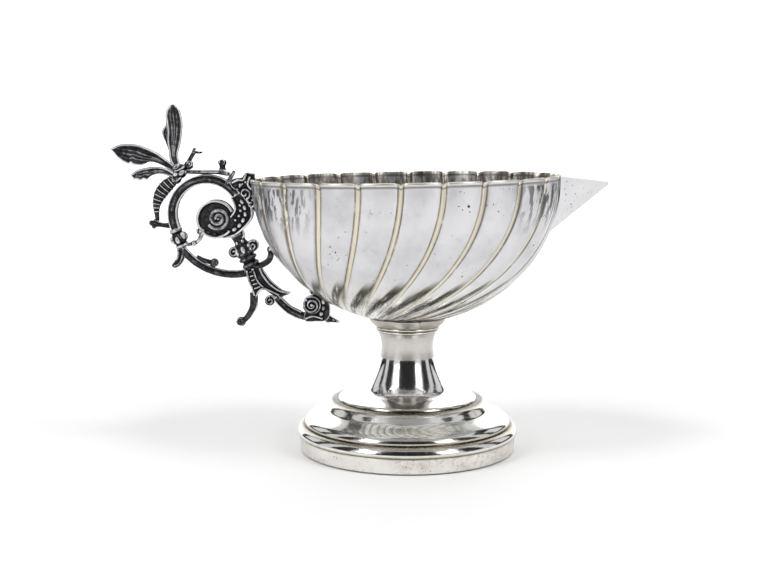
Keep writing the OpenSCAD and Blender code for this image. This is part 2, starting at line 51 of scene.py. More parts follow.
scene = bpy.context.scene
scene.view_settings.view_transform = "Standard"

camera_data = bpy.data.cameras.new("camera")
camera_data.sensor_width = 36.0
camera_data.lens = 60.33
camera = bpy.data.objects.new("camera", camera_data)
camera.location = (-0.0112, -0.570, 0.1494)
camera.rotation_euler = (math.radians(90.0 - 7.59), 0.0, 0.0)
scene.collection.objects.link(camera)
scene.camera = camera

world = bpy.data.worlds.new("white_tent")
world.use_nodes = True
world.node_tree.nodes["Background"].inputs["Color"].default_value = (1.0, 1.0, 1.0, 1.0)
world.node_tree.nodes["Background"].inputs["Strength"].default_value = 0.69
scene.world = world


def flat_sheet(name, corners, material, seen=True):
    mesh = bpy.data.meshes.new(name)
    mesh.from_pydata(corners, [], [tuple(range(len(corners)))])
    sheet = bpy.data.objects.new(name, mesh)
    sheet.data.materials.append(material)
    sheet.visible_camera = seen
    scene.collection.objects.link(sheet)
    return sheet


def plain_material(name, grey, rough=0.8, glow=0.0):
    material = bpy.data.materials.new(name)
    material.use_nodes = True
    shader = material.node_tree.nodes["Principled BSDF"]
    shader.inputs["Base Color"].default_value = (grey, grey, grey, 1)
    shader.inputs["Roughness"].default_value = rough
    shader.inputs["Specular IOR Level"].default_value = 0.2
    if glow:
        shader.inputs["Emission Color"].default_value = (1, 1, 1, 1)
        shader.inputs["Emission Strength"].default_value = glow
    return material


def card(name, turn, low, high, half, away, material):
    """An upright card round the boat: turn is 0 straight in front, low and high its edges in metres."""
    middle = math.radians(turn - 90)
    left, right = middle - half / away, middle + half / away
    a = (away * math.cos(left), away * math.sin(left))
    b = (away * math.cos(right), away * math.sin(right))
    corners = [(a[0], a[1], low), (b[0], b[1], low), (b[0], b[1], high), (a[0], a[1], high)]
    return flat_sheet(name, corners, material, seen=False)


table_white = plain_material("table_white", 0.90, glow=0.12)
flat_sheet("table", [(-3, -3, 0), (3, -3, 0), (3, 3, 0), (-3, 3, 0)], table_white)
tent_white = plain_material("tent_white", 0.8, glow=0.75)
flat_sheet("back_of_tent", [(-3, 2.9, -0.01), (3, 2.9, -0.01), (3, 2.9, 3), (-3, 2.9, 3)], tent_white)

room_dark = plain_material("room_dark", 0.015)
box_grey = plain_material("box_grey", 0.5, glow=0.22)
box_white = plain_material("box_white", 0.8, glow=3.2)
card("dark_room_middle", 0, 0.12, 2.2, 0.74, 1.3, room_dark)
card("soft_box_left", -45, 0.36, 1.15, 0.19, 1.2, box_white)
card("soft_box_right", 43, 0.36, 1.15, 0.19, 1.2, box_white)
card("dark_gap_left", -72, 0.16, 1.8, 0.26, 1.25, room_dark)
card("dark_gap_right", 71, 0.16, 1.8, 0.26, 1.25, room_dark)
for side in (-1, 1):
    card("side_flag", side * 118, 0.02, 0.95, 0.30, 0.90, room_dark)
    card("sheet_before_flag", side * 119, 0.14, 0.62, 0.15, 0.84, box_grey)


def overhead(name, x0, y0, x1, y1, z, material):
    """A level sheet above the boat that only its shine sees."""
    sheet = flat_sheet(name, [(x0, y0, z), (x1, y0, z), (x1, y1, z), (x0, y1, z)], material, seen=False)
    sheet.visible_diffuse = False
    sheet.visible_shadow = False


overhead("tent_ceiling", -0.9, -0.85, 0.9, 0.9, 1.3, plain_material("ceiling_grey", 0.1, glow=0.26))
lamp_half = 0.13
for x, y in ((-0.38, 0.60), (0.03, 0.06), (0.32, 0.58)):
    overhead("ceiling_lamp", x - lamp_half, y - lamp_half, x + lamp_half, y + lamp_half, 1.28, box_white)
for name, aim in (("lamp_left", (0.68, 0.30, -1.0)), ("lamp_right", (-0.68, 0.30, -1.0))):
    lamp = bpy.data.objects.new(name, bpy.data.lights.new(name, "SUN"))
    lamp.data.energy = 1.15
    lamp.data.angle = math.radians(20)
    lamp.rotation_euler = Vector(aim).to_track_quat("-Z", "Y").to_euler()
    scene.collection.objects.link(lamp)

# ---- Silver, the way it is worn ------------------------------------------------------------------
# The whole boat is silver. Its sheet was polished by hand for years: a soft shine with clouds of
# tarnish, fine scratches and little pits where salt and vinegar stood.


class Field:
    """A number worked out by a node tree, so that a formula reads as it does on paper."""

    def __init__(self, tree, socket):
        self.tree, self.socket = tree, socket

    def math(self, kind, *others, swap=False):
        node = self.tree.nodes.new("ShaderNodeMath")
        node.operation = kind
        for slot, value in enumerate([*others, self] if swap else [self, *others]):
            if isinstance(value, Field):
                self.tree.links.new(value.socket, node.inputs[slot])
            else:
                node.inputs[slot].default_value = value
        return Field(self.tree, node.outputs[0])

    def __add__(self, other): return self.math("ADD", other)
    def __radd__(self, other): return self.math("ADD", other)
    def __sub__(self, other): return self.math("SUBTRACT", other)
    def __rsub__(self, other): return self.math("SUBTRACT", other, swap=True)
    def __mul__(self, other): return self.math("MULTIPLY", other)
    def __rmul__(self, other): return self.math("MULTIPLY", other)
    def __truediv__(self, other): return self.math("DIVIDE", other)
    def __rtruediv__(self, other): return self.math("DIVIDE", other, swap=True)
    def __pow__(self, other): return self.math("POWER", other)
    def __abs__(self): return self.math("ABSOLUTE")
    def sin(self): return self.math("SINE")
    def cos(self): return self.math("COSINE")
    def floor(self): return self.math("FLOOR")
    def at_least(self, other): return self.math("MAXIMUM", other)
    def at_most(self, other): return self.math("MINIMUM", other)

    def rise(self, start, end):
        """0 below start, 1 above end, a soft step between."""
        node = self.tree.nodes.new("ShaderNodeMapRange")
        node.interpolation_type = "SMOOTHSTEP"
        self.tree.links.new(self.socket, node.inputs["Value"])
        for name, value in (("From Min", start), ("From Max", end)):
            if isinstance(value, Field):
                self.tree.links.new(value.socket, node.inputs[name])
            else:
                node.inputs[name].default_value = value
        return Field(self.tree, node.outputs["Result"])


def object_place(tree, stretch=(1, 1, 1)):
    """The place on the object in metres, stretched as asked."""
    place = tree.nodes.new("ShaderNodeTexCoord").outputs["Object"]
    if stretch == (1, 1, 1):
        return place
    mapping = tree.nodes.new("ShaderNodeMapping")
    mapping.inputs["Scale"].default_value = stretch
    tree.links.new(place, mapping.inputs["Vector"])
    return mapping.outputs["Vector"]


def noise(tree, size_mm, detail=2.0, stretch=(1, 1, 1), rough=0.5):
    node = tree.nodes.new("ShaderNodeTexNoise")
    node.inputs["Scale"].default_value = 1000.0 / size_mm
    node.inputs["Detail"].default_value = detail
    node.inputs["Roughness"].default_value = rough
    tree.links.new(object_place(tree, stretch), node.inputs["Vector"])
    return Field(tree, node.outputs["Fac"])


def attribute(tree, name):
    node = tree.nodes.new("ShaderNodeAttribute")
    node.attribute_name = name
    return Field(tree, node.outputs["Fac"])


def mix_colour(tree, share, first, second):
    """first where share is 0, second where it is 1; either is a colour or another mix."""
    node = tree.nodes.new("ShaderNodeMix")
    node.data_type = "RGBA"
    tree.links.new(share.socket, node.inputs[0])
    for slot, value in ((6, first), (7, second)):
        if isinstance(value, tuple):
            node.inputs[slot].default_value = (*value, 1)
        else:
            tree.links.new(value, node.inputs[slot])
    return node.outputs[2]


def metal(name):
    """A bare metal material, its node tree and its shader."""
    material = bpy.data.materials.new(name)
    material.use_nodes = True
    tree = material.node_tree
    shader = tree.nodes["Principled BSDF"]
    shader.inputs["Metallic"].default_value = 1.0
    return material, tree, shader


def finish_metal(tree, shader, colour, roughness, relief, relief_mm):
    """Wires the worked-out colour, roughness and relief to the shader."""
    tree.links.new(colour, shader.inputs["Base Color"])
    tree.links.new(roughness.socket, shader.inputs["Roughness"])
    bump = tree.nodes.new("ShaderNodeBump")
    bump.inputs["Distance"].default_value = relief_mm / 1000.0
    bump.inputs["Strength"].default_value = 1.0
    tree.links.new(relief.socket, bump.inputs["Height"])
    tree.links.new(bump.outputs["Normal"], shader.inputs["Normal"])


def height_mm(tree):
    place = tree.nodes.new("ShaderNodeSeparateXYZ")
    tree.links.new(object_place(tree), place.inputs["Vector"])
    return Field(tree, place.outputs["Z"]) * 1000


def silver_sheet(name, light=(0.80, 0.79, 0.80), dull=(0.66, 0.65, 0.66), shine=0.24,
                 pits=0.5, grooved=False, shade_and_tarnish_line=0.0):
    material, tree, shader = metal(name)
    cloud = noise(tree, 22.0, 3.0)
    patch = noise(tree, 7.0, 4.0, rough=0.6)
    grain = noise(tree, 0.7, 3.0)
    scratch = noise(tree, 1.3, 2.0, stretch=(1, 1, 9))
    spot = noise(tree, 1.15, 1.5)
    colour = mix_colour(tree, (cloud * 0.6 + patch * 0.4).rise(0.38, 0.66), light, dull)
    colour = mix_colour(tree, patch.rise(0.60, 0.74) * 0.35, colour, (0.50, 0.47, 0.43))
    pit = spot.rise(0.68, 0.73) * noise(tree, 13.0, 1.0).rise(0.66 - 0.2 * pits, 0.72 - 0.2 * pits)
    colour = mix_colour(tree, pit, colour, (0.06, 0.055, 0.05))
    rough = shine + patch * 0.12 + cloud * 0.08 + pit * 0.3
    relief = patch * 0.9 + grain * 0.12 + scratch * 0.10 - pit * 1.0
    if shade_and_tarnish_line:
        # Painted contact shadow and dark tarnish: the bottom millimetre of the band is darkened to
        # near-black where it meets the table.
        low = 1 - height_mm(tree).rise(shade_and_tarnish_line * 0.3, shade_and_tarnish_line)
        colour = mix_colour(tree, low * 0.95, colour, (0.05, 0.045, 0.035))
        rub = noise(tree, 2.0, 4.0, stretch=(1, 1, 1.5), rough=0.75).rise(0.54, 0.60)
        rub = rub * noise(tree, 16.0, 1.0).rise(0.46, 0.54)
        colour = mix_colour(tree, rub * 0.45, colour, (0.50, 0.46, 0.39))
        relief = relief - rub * 0.5
    if grooved:
        groove = attribute(tree, "groove")
        under_rim = attribute(tree, "under_rim")
        fill = 1 - groove.rise(0.62, 0.92)
        line = groove.rise(0.72, 0.92) * (1 - groove.rise(1.0, 1.45)) * patch.rise(0.26, 0.50)
        colour = mix_colour(tree, fill * 0.85, colour, (0.84, 0.77, 0.60))
        colour = mix_colour(tree, line * 0.85, colour, (0.17, 0.14, 0.09))
        # Painted shade: a dark band just under the rim, where the lip overhangs the wall.
        painted_lip_shade = under_rim.rise(0.7, 1.1) * (1 - under_rim.rise(1.4, 2.3))
        colour = mix_colour(tree, painted_lip_shade * 0.75, colour, (0.13, 0.12, 0.12))
        lip = 1 - under_rim.rise(0.3, 0.8)
        colour = mix_colour(tree, lip * 0.6, colour, (0.90, 0.85, 0.72))
        along = tree.nodes.new("ShaderNodeCombineXYZ")
        tree.links.new(attribute(tree, "flute_across").socket, along.inputs["X"])
        tree.links.new((attribute(tree, "flute_along") * 0.22).socket, along.inputs["Y"])
        streak = tree.nodes.new("ShaderNodeTexNoise")
        streak.inputs["Scale"].default_value = 0.42
        streak.inputs["Detail"].default_value = 4.0
        streak.inputs["Roughness"].default_value = 0.6
        tree.links.new(along.outputs["Vector"], streak.inputs["Vector"])
        streak = Field(tree, streak.outputs["Fac"])
        inside = attribute(tree, "inner")
        # Painted reflection: dark streaks along the lower flutes stand for the dark foot and handle
        # mirrored in the bowl, broken up by lighter painted streaks.
        share = attribute(tree, "flute_across") * (1 / 17.0)
        share = share - share.floor()
        down = (under_rim - 43.0) / 17.0
        lens = 1 - abs(share - (0.80 - down * 0.50)).rise(0.12, 0.25)
        low_reflection_band = (1 - abs(share - (0.98 - down * 0.85)).rise(0.02, 0.09)) * under_rim.rise(48.0, 51.0)
        lens = lens.at_least(low_reflection_band)
        painted_dark_reflection = (lens * under_rim.rise(40.0, 46.0) * streak.rise(0.30, 0.42) * (1 - inside)
                 * groove.rise(0.85, 1.1))
        # Painted reflection: the lower outside of the bowl is lightened towards white, as the white table
        # mirrored in it.
        colour = mix_colour(tree, under_rim.rise(36.0, 50.0) * (1 - inside) * 0.5, colour,
                            (0.95, 0.94, 0.90))
        reflection_light_streak = streak.rise(0.50, 0.60) * under_rim.rise(46.0, 50.0)
        colour = mix_colour(tree, painted_dark_reflection * (0.94 - reflection_light_streak * 0.7), colour, (0.085, 0.078, 0.05))
        place = tree.nodes.new("ShaderNodeSeparateXYZ")
        tree.links.new(object_place(tree), place.inputs["Vector"])
        at_ends = abs(Field(tree, place.outputs["X"]) - 0.002).rise(0.038, 0.052)
        left_edge = (0 - Field(tree, place.outputs["X"])).rise(0.030, 0.055)
        old_polish = (groove.rise(0.85, 1.05) * (1 - groove.rise(1.3, 2.2)) * left_edge
                      * patch.rise(0.28, 0.5))
        colour = mix_colour(tree, old_polish * (1 - inside) * 0.8, colour, (0.20, 0.17, 0.13))
        # Painted reflection and painted shade: dark vertical strips below the rim near the spout and handle
        # ends.
        painted_end_strips = (streak.rise(0.49, 0.54) * at_ends * (1 - under_rim.rise(9.0, 26.0)) * (1 - inside)
                * under_rim.rise(1.5, 3.0))
        colour = mix_colour(tree, painted_end_strips * 0.9, colour, (0.10, 0.10, 0.10))
        stain = streak.rise(0.38, 0.58) * inside
        colour = mix_colour(tree, stain * 0.9, colour, (0.17, 0.145, 0.12))
        seat_line = under_rim.rise(60.2, 61.0) * (1 - inside)
        colour = mix_colour(tree, seat_line * 0.9, colour, (0.06, 0.05, 0.04))
        rough = rough - under_rim.rise(40.0, 52.0) * 0.10
    finish_metal(tree, shader, colour, rough, relief, 0.10)
    return material


def polished_sheet(name, light=(0.88, 0.88, 0.87), shine=0.05, hollows=()):
    """Mirror-bright sheet; hollows are (height, reach) in mm where old polish has gathered."""
    material, tree, shader = metal(name)
    cloud = noise(tree, 18.0, 3.0)
    patch = noise(tree, 4.0, 4.0, rough=0.6)
    turned = noise(tree, 0.9, 2.0, stretch=(0.06, 0.06, 1))
    wear = noise(tree, 1.5, 3.0)
    colour = mix_colour(tree, cloud.rise(0.45, 0.7) * 0.5, light, (0.74, 0.71, 0.64))
    colour = mix_colour(tree, patch.rise(0.58, 0.72) * 0.5, colour, (0.50, 0.46, 0.38))
    rough = shine + patch * 0.07 + wear.rise(0.5, 0.75) * 0.10
    for level, reach in hollows:
        near = abs(height_mm(tree) - level)
        brown = 1 - near.rise(reach * 0.5, reach * 2.0)
        colour = mix_colour(tree, brown * (0.45 + patch * 0.5), colour, (0.36, 0.29, 0.17))
        dirt = 1 - near.rise(reach * 0.15, reach * 0.6)
        colour = mix_colour(tree, dirt * 0.85, colour, (0.05, 0.045, 0.035))
        rough = rough + brown * 0.15
    relief = turned * 0.12 + patch * 0.35 + wear * 0.08
    finish_metal(tree, shader, colour, rough, relief, 0.06)
    return material


# ---- Foot band -----------------------------------------------------------------------------------
# The plain band that the boat stands on: a flat strip of silver bent to a ring and soldered under
# the dome, matt from sliding over tables; its foot is painted near-black as contact shadow and tarnish.


def smooth_run(points, steps):
    """A smooth curve through points of any number of values."""
    points = [tuple(p) for p in points]
    out = []
    for i in range(len(points) - 1):
        a, b, c, d = (points[max(i - 1, 0)], points[i], points[i + 1],
                      points[min(i + 2, len(points) - 1)])
        for s in range(steps):
            t = s / steps
            out.append(tuple(0.5 * (2 * q + (r - p) * t + (2 * p - 5 * q + 4 * r - u) * t * t
                                    + (3 * q - p - 3 * r + u) * t ** 3)
                             for p, q, r, u in zip(a, b, c, d)))
    out.append(points[-1])
    return out


def add_piece(name, vertices, faces, material, node, scale=0.001, sharp=32.0):
    """Makes the mesh in metres, turns its normals outwards and hands it over for its CAD node."""
    mesh = bpy.data.meshes.new(name)
    mesh.from_pydata([Vector(v) * scale for v in vertices], [], faces)
    bm = bmesh.new()
    bm.from_mesh(mesh)
    bmesh.ops.remove_doubles(bm, verts=bm.verts, dist=0.00001)
    bmesh.ops.recalc_face_normals(bm, faces=bm.faces)
    bm.to_mesh(mesh)
    bm.free()
    mesh.shade_smooth()
    mesh.set_sharp_from_angle(angle=math.radians(sharp))
    mesh.materials.append(material)
    piece = bpy.data.objects.new(name, mesh)
    scene.collection.objects.link(piece)
    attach(piece, "root")
    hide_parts(node)
    return piece


def turned_ring(node, runs, material, sides=256, sharp=32.0):
    """A spun piece: runs are smooth stretches of its section, (radius, height), as one closed loop."""
    section = []
    for run in runs:
        section += smooth_run(run, 6) if len(run) > 2 else run
    clean = [section[0]]
    for point in section[1:]:
        if math.dist(point, clean[-1]) > 0.02:
            clean.append(point)
    if math.dist(clean[0], clean[-1]) < 0.02:
        clean.pop()
    count = len(clean)
    vertices = [(r * math.cos(math.tau * k / sides), r * math.sin(math.tau * k / sides), z)
                for k in range(sides) for r, z in clean]
    faces = [(k * count + i, (k + 1) % sides * count + i,
              (k + 1) % sides * count + (i + 1) % count, k * count + (i + 1) % count)
             for k in range(sides) for i in range(count)]
    return add_piece("silver_" + node, vertices, faces, material, node, sharp=sharp)


foot_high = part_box("foot_band")[1]
foot_r = foot_high.x * 1000 - 0.8
band_top = foot_high.z * 1000

band_silver = silver_sheet("band_silver", light=(0.90, 0.88, 0.84), dull=(0.78, 0.75, 0.70),
                           shine=0.30, pits=0.5, shade_and_tarnish_line=1.0)
turned_ring("foot_band", [
    [(foot_r - 2.4, band_top), (foot_r - 2.4, 0.2)],
    [(foot_r - 2.2, 0), (foot_r - 0.6, 0)],
    [(foot_r - 0.3, 0.05), (foot_r + 0.1, 0.35), (foot_r + 0.4, 0.9), (foot_r + 0.6, 3.5),
     (foot_r + 0.8, band_top - 0.7), (foot_r + 0.6, band_top - 0.15)],
    [(foot_r + 0.4, band_top), (foot_r - 2.0, band_top)]], band_silver)

# ---- Foot dome -----------------------------------------------------------------------------------
# Spun over a wooden former from one disc: a half-round bead, the full swell, a cove and the
# sloping top with its round edge. Polished bright; the hollow side is left as it came off the lathe.

dome_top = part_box("foot_dome")[1].z * 1000


def off_band(points):
    """Section points given from the top outer corner of the foot band."""
    return [(foot_r + out, band_top + up) for out, up in points]


dome_silver = polished_sheet("dome_silver", light=(0.84, 0.84, 0.82), shine=0.07, hollows=(
    (band_top + 0.3, 0.6), (band_top + 4.9, 0.75), (band_top + 15.75, 0.5)))
turned_ring("foot_dome", [
    off_band([(-1.2, 0), (0.9, 0)]),
    off_band([(1.2, 0.1), (1.7, 0.6), (1.85, 1.5), (1.5, 2.7), (0.6, 3.9), (-0.6, 4.6)]),
    off_band([(-1.2, 4.75), (-1.6, 4.7), (-1.75, 4.95)]),
    off_band([(-1.55, 5.2), (-1.6, 6.0), (-2.1, 7.0), (-3.1, 8.0), (-4.7, 9.0), (-6.8, 10.1),
              (-8.8, 11.15), (-10.2, 12.05), (-11.2, 13.2), (-12.1, 14.3), (-13.1, 15.15),
              (-14.4, 15.65), (-16.1, 15.85)]),
    off_band([(-16.6, 15.7), (-16.9, 15.85)]),
    off_band([(-16.8, 16.1), (-17.1, 16.7), (-17.8, 17.1), (-19, 17.35)]),
    [*off_band([(-21, 17.9)]), (foot_r - 26, dome_top)],
    [(foot_r - 26, dome_top - 1.2),
     *off_band([(-21, 16.3), (-15.4, 15), (-13.4, 13.9), (-12.4, 12.1), (-11.2, 10.6), (-8.4, 9.2),
                (-5.3, 7.6), (-3.5, 5.6), (-2.6, 3.4), (-0.9, 1.9), (-0.8, 0.8)])]], dome_silver)

# ---- Stem ----------------------------------------------------------------------------------------
# A spool spun from tube: wide where it is soldered to the dome, narrow waist, closed flat top for
# the nut. Its upper half has gone matt; below the waist it is still as bright as a mirror.

stem_low, stem_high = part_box("stem")
stem_foot, stem_top = stem_low.z * 1000, stem_high.z * 1000


def stem_silver(waist):
    material, tree, shader = metal("stem_silver")
    z = height_mm(tree)
    patch = noise(tree, 3.0, 4.0, rough=0.6)
    turned = noise(tree, 0.8, 2.0, stretch=(0.06, 0.06, 1))
    matt = (z + patch * 0.8).rise(waist - 0.4, waist + 0.5)
    mark = noise(tree, 0.9, 3.0, stretch=(1, 1, 0.4)).rise(0.56, 0.66)
    mark = mark * (1 - z.rise(stem_foot + 2, stem_foot + 7))
    colour = mix_colour(tree, matt, (0.84, 0.84, 0.84), (0.66, 0.64, 0.61))
    colour = mix_colour(tree, patch.rise(0.55, 0.72) * 0.45, colour, (0.60, 0.56, 0.50))
    colour = mix_colour(tree, mark * 0.5, colour, (0.62, 0.58, 0.50))
    rough = 0.09 + matt * 0.23 + patch * 0.06 + mark * 0.2
    relief = turned * 0.15 + patch * 0.2 + mark * 0.35
    finish_metal(tree, shader, colour, rough, relief, 0.06)
    return material


stem_line = smooth_run([(r, stem_foot + up) for r, up in (
    (22, 0), (19.3, 1.1), (17, 3.6), (15.2, 6.8), (13.6, 10.6), (12.3, 14.8), (11.6, 19.4),
    (11.7, 22.8), (12.3, 25.6))] + [(13.2, stem_top)], 4)
turned_ring("stem", [
    stem_line[:1] + stem_line[1:-1:2] + stem_line[-1:],
    [(13.0, stem_top), (3.4, stem_top)],
    [(3.3, stem_top - 0.1), (3.3, stem_top - 1.2)],
    [(3.5, stem_top - 1.2), (11.2, stem_top - 1.3)],
    [(r - 1.2, z) for r, z in reversed(stem_line[:-5:3])],
    [(20.8, stem_foot), (21.9, stem_foot)]], stem_silver(stem_foot + 16.4))

# ---- Bead rings and seat collar --------------------------------------------------------------------
# Two fine round wires soldered one over the other on the stem, and the shallow saucer over them
# that the bowl sits in. The saucer's edge is matt and a little battered.

ring_low, ring_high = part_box("bead_ring")
collar_low, collar_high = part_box("seat_collar")
ring_foot, ring_top = ring_low.z * 1000, ring_high.z * 1000
seat_z, seat_r = collar_high.z * 1000, collar_high.x * 1000


def round_wire(radius, height, wire):
    return [(radius + wire * math.cos(math.radians(a)), height + wire * math.sin(math.radians(a)))
            for a in range(-80, 81, 20)]


bead_silver = polished_sheet("bead_silver", light=(0.80, 0.78, 0.74), shine=0.12, hollows=(
    (ring_foot + 0.05, 0.3), (ring_foot + 1.5, 0.4), (ring_top + 0.05, 0.4)))
turned_ring("bead_ring", [
    [(4.3, ring_foot), (13.2, ring_foot)],
    round_wire(13.2, ring_foot + 0.8, 0.78),
    round_wire(13.9, ring_foot + 2.2, 0.76),
    [(13.9, ring_top), (4.3, ring_top)]], bead_silver)
collar_silver = silver_sheet("collar_silver", light=(0.68, 0.65, 0.60), dull=(0.50, 0.47, 0.42),
                             shine=0.26, pits=1.0)
turned_ring("seat_collar", [
    [(3.3, collar_low.z * 1000), (14.8, collar_low.z * 1000)],
    [(15.0, collar_low.z * 1000 + 0.05), (15.6, collar_low.z * 1000 + 0.5), (16.4, seat_z - 2.2),
     (17.0, seat_z - 1.2), (seat_r, seat_z - 0.5), (seat_r - 0.1, seat_z - 0.1)],
    [(seat_r - 0.3, seat_z), (9.2, seat_z)],
    [(9.2, seat_z - 0.1), (9.2, seat_z - 1.4)],
    [(9.1, seat_z - 1.4), (3.3, seat_z - 1.4)]], collar_silver)

# ---- Stud, washer and nut --------------------------------------------------------------------------
# Out of sight inside the stem: a brass stud soldered under the bowl goes down through the seat,
# and a washer and a hexagon nut pull the bowl on to its foot. Plain yellow brass, a little brown.


def brass(name):
    material, tree, shader = metal(name)
    patch = noise(tree, 4.0, 4.0)
    grain = noise(tree, 0.5, 2.0, stretch=(1, 1, 6))
    colour = mix_colour(tree, patch.rise(0.4, 0.65), (0.74, 0.56, 0.28), (0.48, 0.32, 0.14))
    finish_metal(tree, shader, colour, 0.28 + patch * 0.2, grain * 0.5 + patch * 0.4, 0.05)
    return material


brass_fixing = brass("brass_fixing")
for node in ("bowl_stud", "stud_washer", "stud_nut"):
    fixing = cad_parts[node]
    for slot in fixing.material_slots:
        slot.material = brass_fixing

# ---- Bowl ------------------------------------------------------------------------------------------
# Raised by hammering from one round sheet, then chased from both sides into 22 flutes that swirl
# down to the foot. Between two flutes runs a narrow flat-bottomed groove, yellow with old polish,
# and the rim is trimmed to the flutes' scallops and rubbed to a thin bright lip.

bowl_silver = silver_sheet("bowl_silver", light=(0.73, 0.725, 0.745), dull=(0.62, 0.615, 0.63),
                           shine=0.27, pits=0.6, grooved=True)
rows_bottom, rows_out, rows_lip, rows_in = 3, 108, 8, 72


def bowl_tree():
    """The swirl-fluted bowl as a rule: a grid is wrapped round once and bent to the double wall."""
    tree = bpy.data.node_groups.new("swirl_fluted_bowl", "GeometryNodeTree")
    sizes = {}
    for name in ("Half length", "Half width", "Rim height", "Depth", "Seat turn", "Flutes",
                 "First groove", "Oval", "Swirl", "Bulge", "Groove depth", "Groove width",
                 "Wall", "Rim rise", "Scallop"):
        tree.interface.new_socket(name, in_out="INPUT", socket_type="NodeSocketFloat")
    tree.interface.new_socket("Silver", in_out="INPUT", socket_type="NodeSocketMaterial")
    tree.interface.new_socket("Geometry", in_out="OUTPUT", socket_type="NodeSocketGeometry")
    given = tree.nodes.new("NodeGroupInput")
    for socket in given.outputs:
        if socket.name:
            sizes[socket.name] = Field(tree, socket)
    rows = rows_bottom + rows_out + rows_lip + rows_in

    grid = tree.nodes.new("GeometryNodeMeshGrid")
    grid.inputs["Size X"].default_value = 1.0
    grid.inputs["Size Y"].default_value = 1.0
    grid.inputs["Vertices X"].default_value = 22 * 18 + 1
    grid.inputs["Vertices Y"].default_value = rows + 1
    spot = tree.nodes.new("ShaderNodeSeparateXYZ")
    tree.links.new(tree.nodes.new("GeometryNodeInputPosition").outputs[0], spot.inputs[0])
    along = (Field(tree, spot.outputs["X"]) + 0.5) * sizes["Flutes"]
    row = (Field(tree, spot.outputs["Y"]) + 0.5) * rows

    def part(start, length):
        return ((row - start) / length).at_least(0.0).at_most(1.0)

    # where the row is: on the flat bottom, up the outside, over the lip or down the inside
    outside = part(rows_bottom, rows_out)
    lip = part(rows_bottom + rows_out, rows_lip)
    inside = part(rows_bottom + rows_out + rows_lip, rows_in)
    quarter = math.pi / 2
    turn = (sizes["Seat turn"] + (quarter - sizes["Seat turn"]) * outside) - inside * (quarter - 0.0004)
    shrink = sizes["Wall"] * (0.5 - 0.5 * (lip * math.pi).cos())
    size = turn.sin()
    height = sizes["Rim height"] - (sizes["Depth"] - shrink) * turn.cos()
    seat = sizes["Rim height"] - sizes["Depth"] * sizes["Seat turn"].cos()
    share = (height - seat) / (sizes["Rim height"] - seat)

    # which flute it is, and how far across it; the grid lines crowd together at the grooves
    number = (along + 0.0001).floor()
    across = along - number
    across = across - (across * math.tau).sin() * (0.68 / math.tau)
    from_groove = across.at_most(1 - across).at_least(0.0)
    base = (sizes["First groove"] + (number + across) * math.tau / sizes["Flutes"]
            + sizes["Swirl"] * size.math("LOGARITHM", math.e))
    angle = base + sizes["Oval"] * (base * 2).sin()
    half_groove = sizes["Groove width"] * size ** -0.45
    groove = from_groove / half_groove
    hollow = 1 - groove.rise(0.55, 1.25)
    stand = (sizes["Bulge"] * (0.6 - (across * 2 - 1) ** 2.0) - sizes["Groove depth"] * hollow)
    below = (sizes["Rim height"] - height) * 1000
    flange = (1 - below.rise(0.7, 1.8)) * 0.00035
    stand = stand * size ** 0.7 + flange
    width = sizes["Half length"] + (sizes["Half width"] - sizes["Half length"]) * size
    disc = (row / rows_bottom).at_most(1.0)
    x = ((sizes["Half length"] - shrink) * size + stand) * angle.cos() * disc
    y = ((width - shrink) * size + stand) * angle.sin() * disc
    scallop = sizes["Scallop"] * abs(across * 2 - 1) ** 8.0 * share.at_least(0.0) ** 12.0
    z = (height + sizes["Rim rise"] * share * x / sizes["Half length"] - scallop
         + (lip * math.pi).sin() * 0.0005)
    x = x - sizes["Rim rise"] * share

    joined = tree.nodes.new("ShaderNodeCombineXYZ")
    for name, value in (("X", x), ("Y", y), ("Z", z)):
        tree.links.new(value.socket, joined.inputs[name])
    bent = tree.nodes.new("GeometryNodeSetPosition")
    # the marks are stored first, while the grid still holds its rows
    geometry = grid.outputs["Mesh"]
    for name, value in (("groove", groove.at_most(4.0)), ("under_rim", below), ("inner", lip),
                        ("flute_across", (number + across) * 17.0), ("flute_along", turn * 66.0)):
        mark = tree.nodes.new("GeometryNodeStoreNamedAttribute")
        mark.data_type = "FLOAT"
        mark.domain = "POINT"
        mark.inputs["Name"].default_value = name
        tree.links.new(value.socket, mark.inputs["Value"])
        tree.links.new(geometry, mark.inputs["Geometry"])
        geometry = mark.outputs["Geometry"]
    tree.links.new(geometry, bent.inputs["Geometry"])
    tree.links.new(joined.outputs["Vector"], bent.inputs["Position"])
    weld = tree.nodes.new("GeometryNodeMergeByDistance")
    weld.inputs["Distance"].default_value = 0.00003
    tree.links.new(bent.outputs["Geometry"], weld.inputs["Geometry"])
    realize = tree.nodes.new("GeometryNodeRealizeInstances")
    tree.links.new(weld.outputs["Geometry"], realize.inputs["Geometry"])
    coat = tree.nodes.new("GeometryNodeSetMaterial")
    tree.links.new(realize.outputs["Geometry"], coat.inputs["Geometry"])
    tree.links.new(sizes["Silver"].socket, coat.inputs["Material"])
    end = tree.nodes.new("NodeGroupOutput")
    tree.links.new(coat.outputs["Geometry"], end.inputs["Geometry"])
    return tree


def grown(name, start_mesh, tree, values):
    """The plain mesh that a node tree makes with these sizes."""
    seed = bpy.data.objects.new(name, start_mesh)
    scene.collection.objects.link(seed)
    modifier = seed.modifiers.new(name, "NODES")
    modifier.node_group = tree
    for item in tree.interface.items_tree:
        if item.item_type == "SOCKET" and item.in_out == "INPUT" and item.name in values:
            modifier[item.identifier] = values[item.name]
    seed.update_tag()
    bpy.context.view_layer.update()
    mesh = bpy.data.meshes.new_from_object(seed.evaluated_get(bpy.context.evaluated_depsgraph_get()))
    bpy.data.objects.remove(seed)
    return mesh


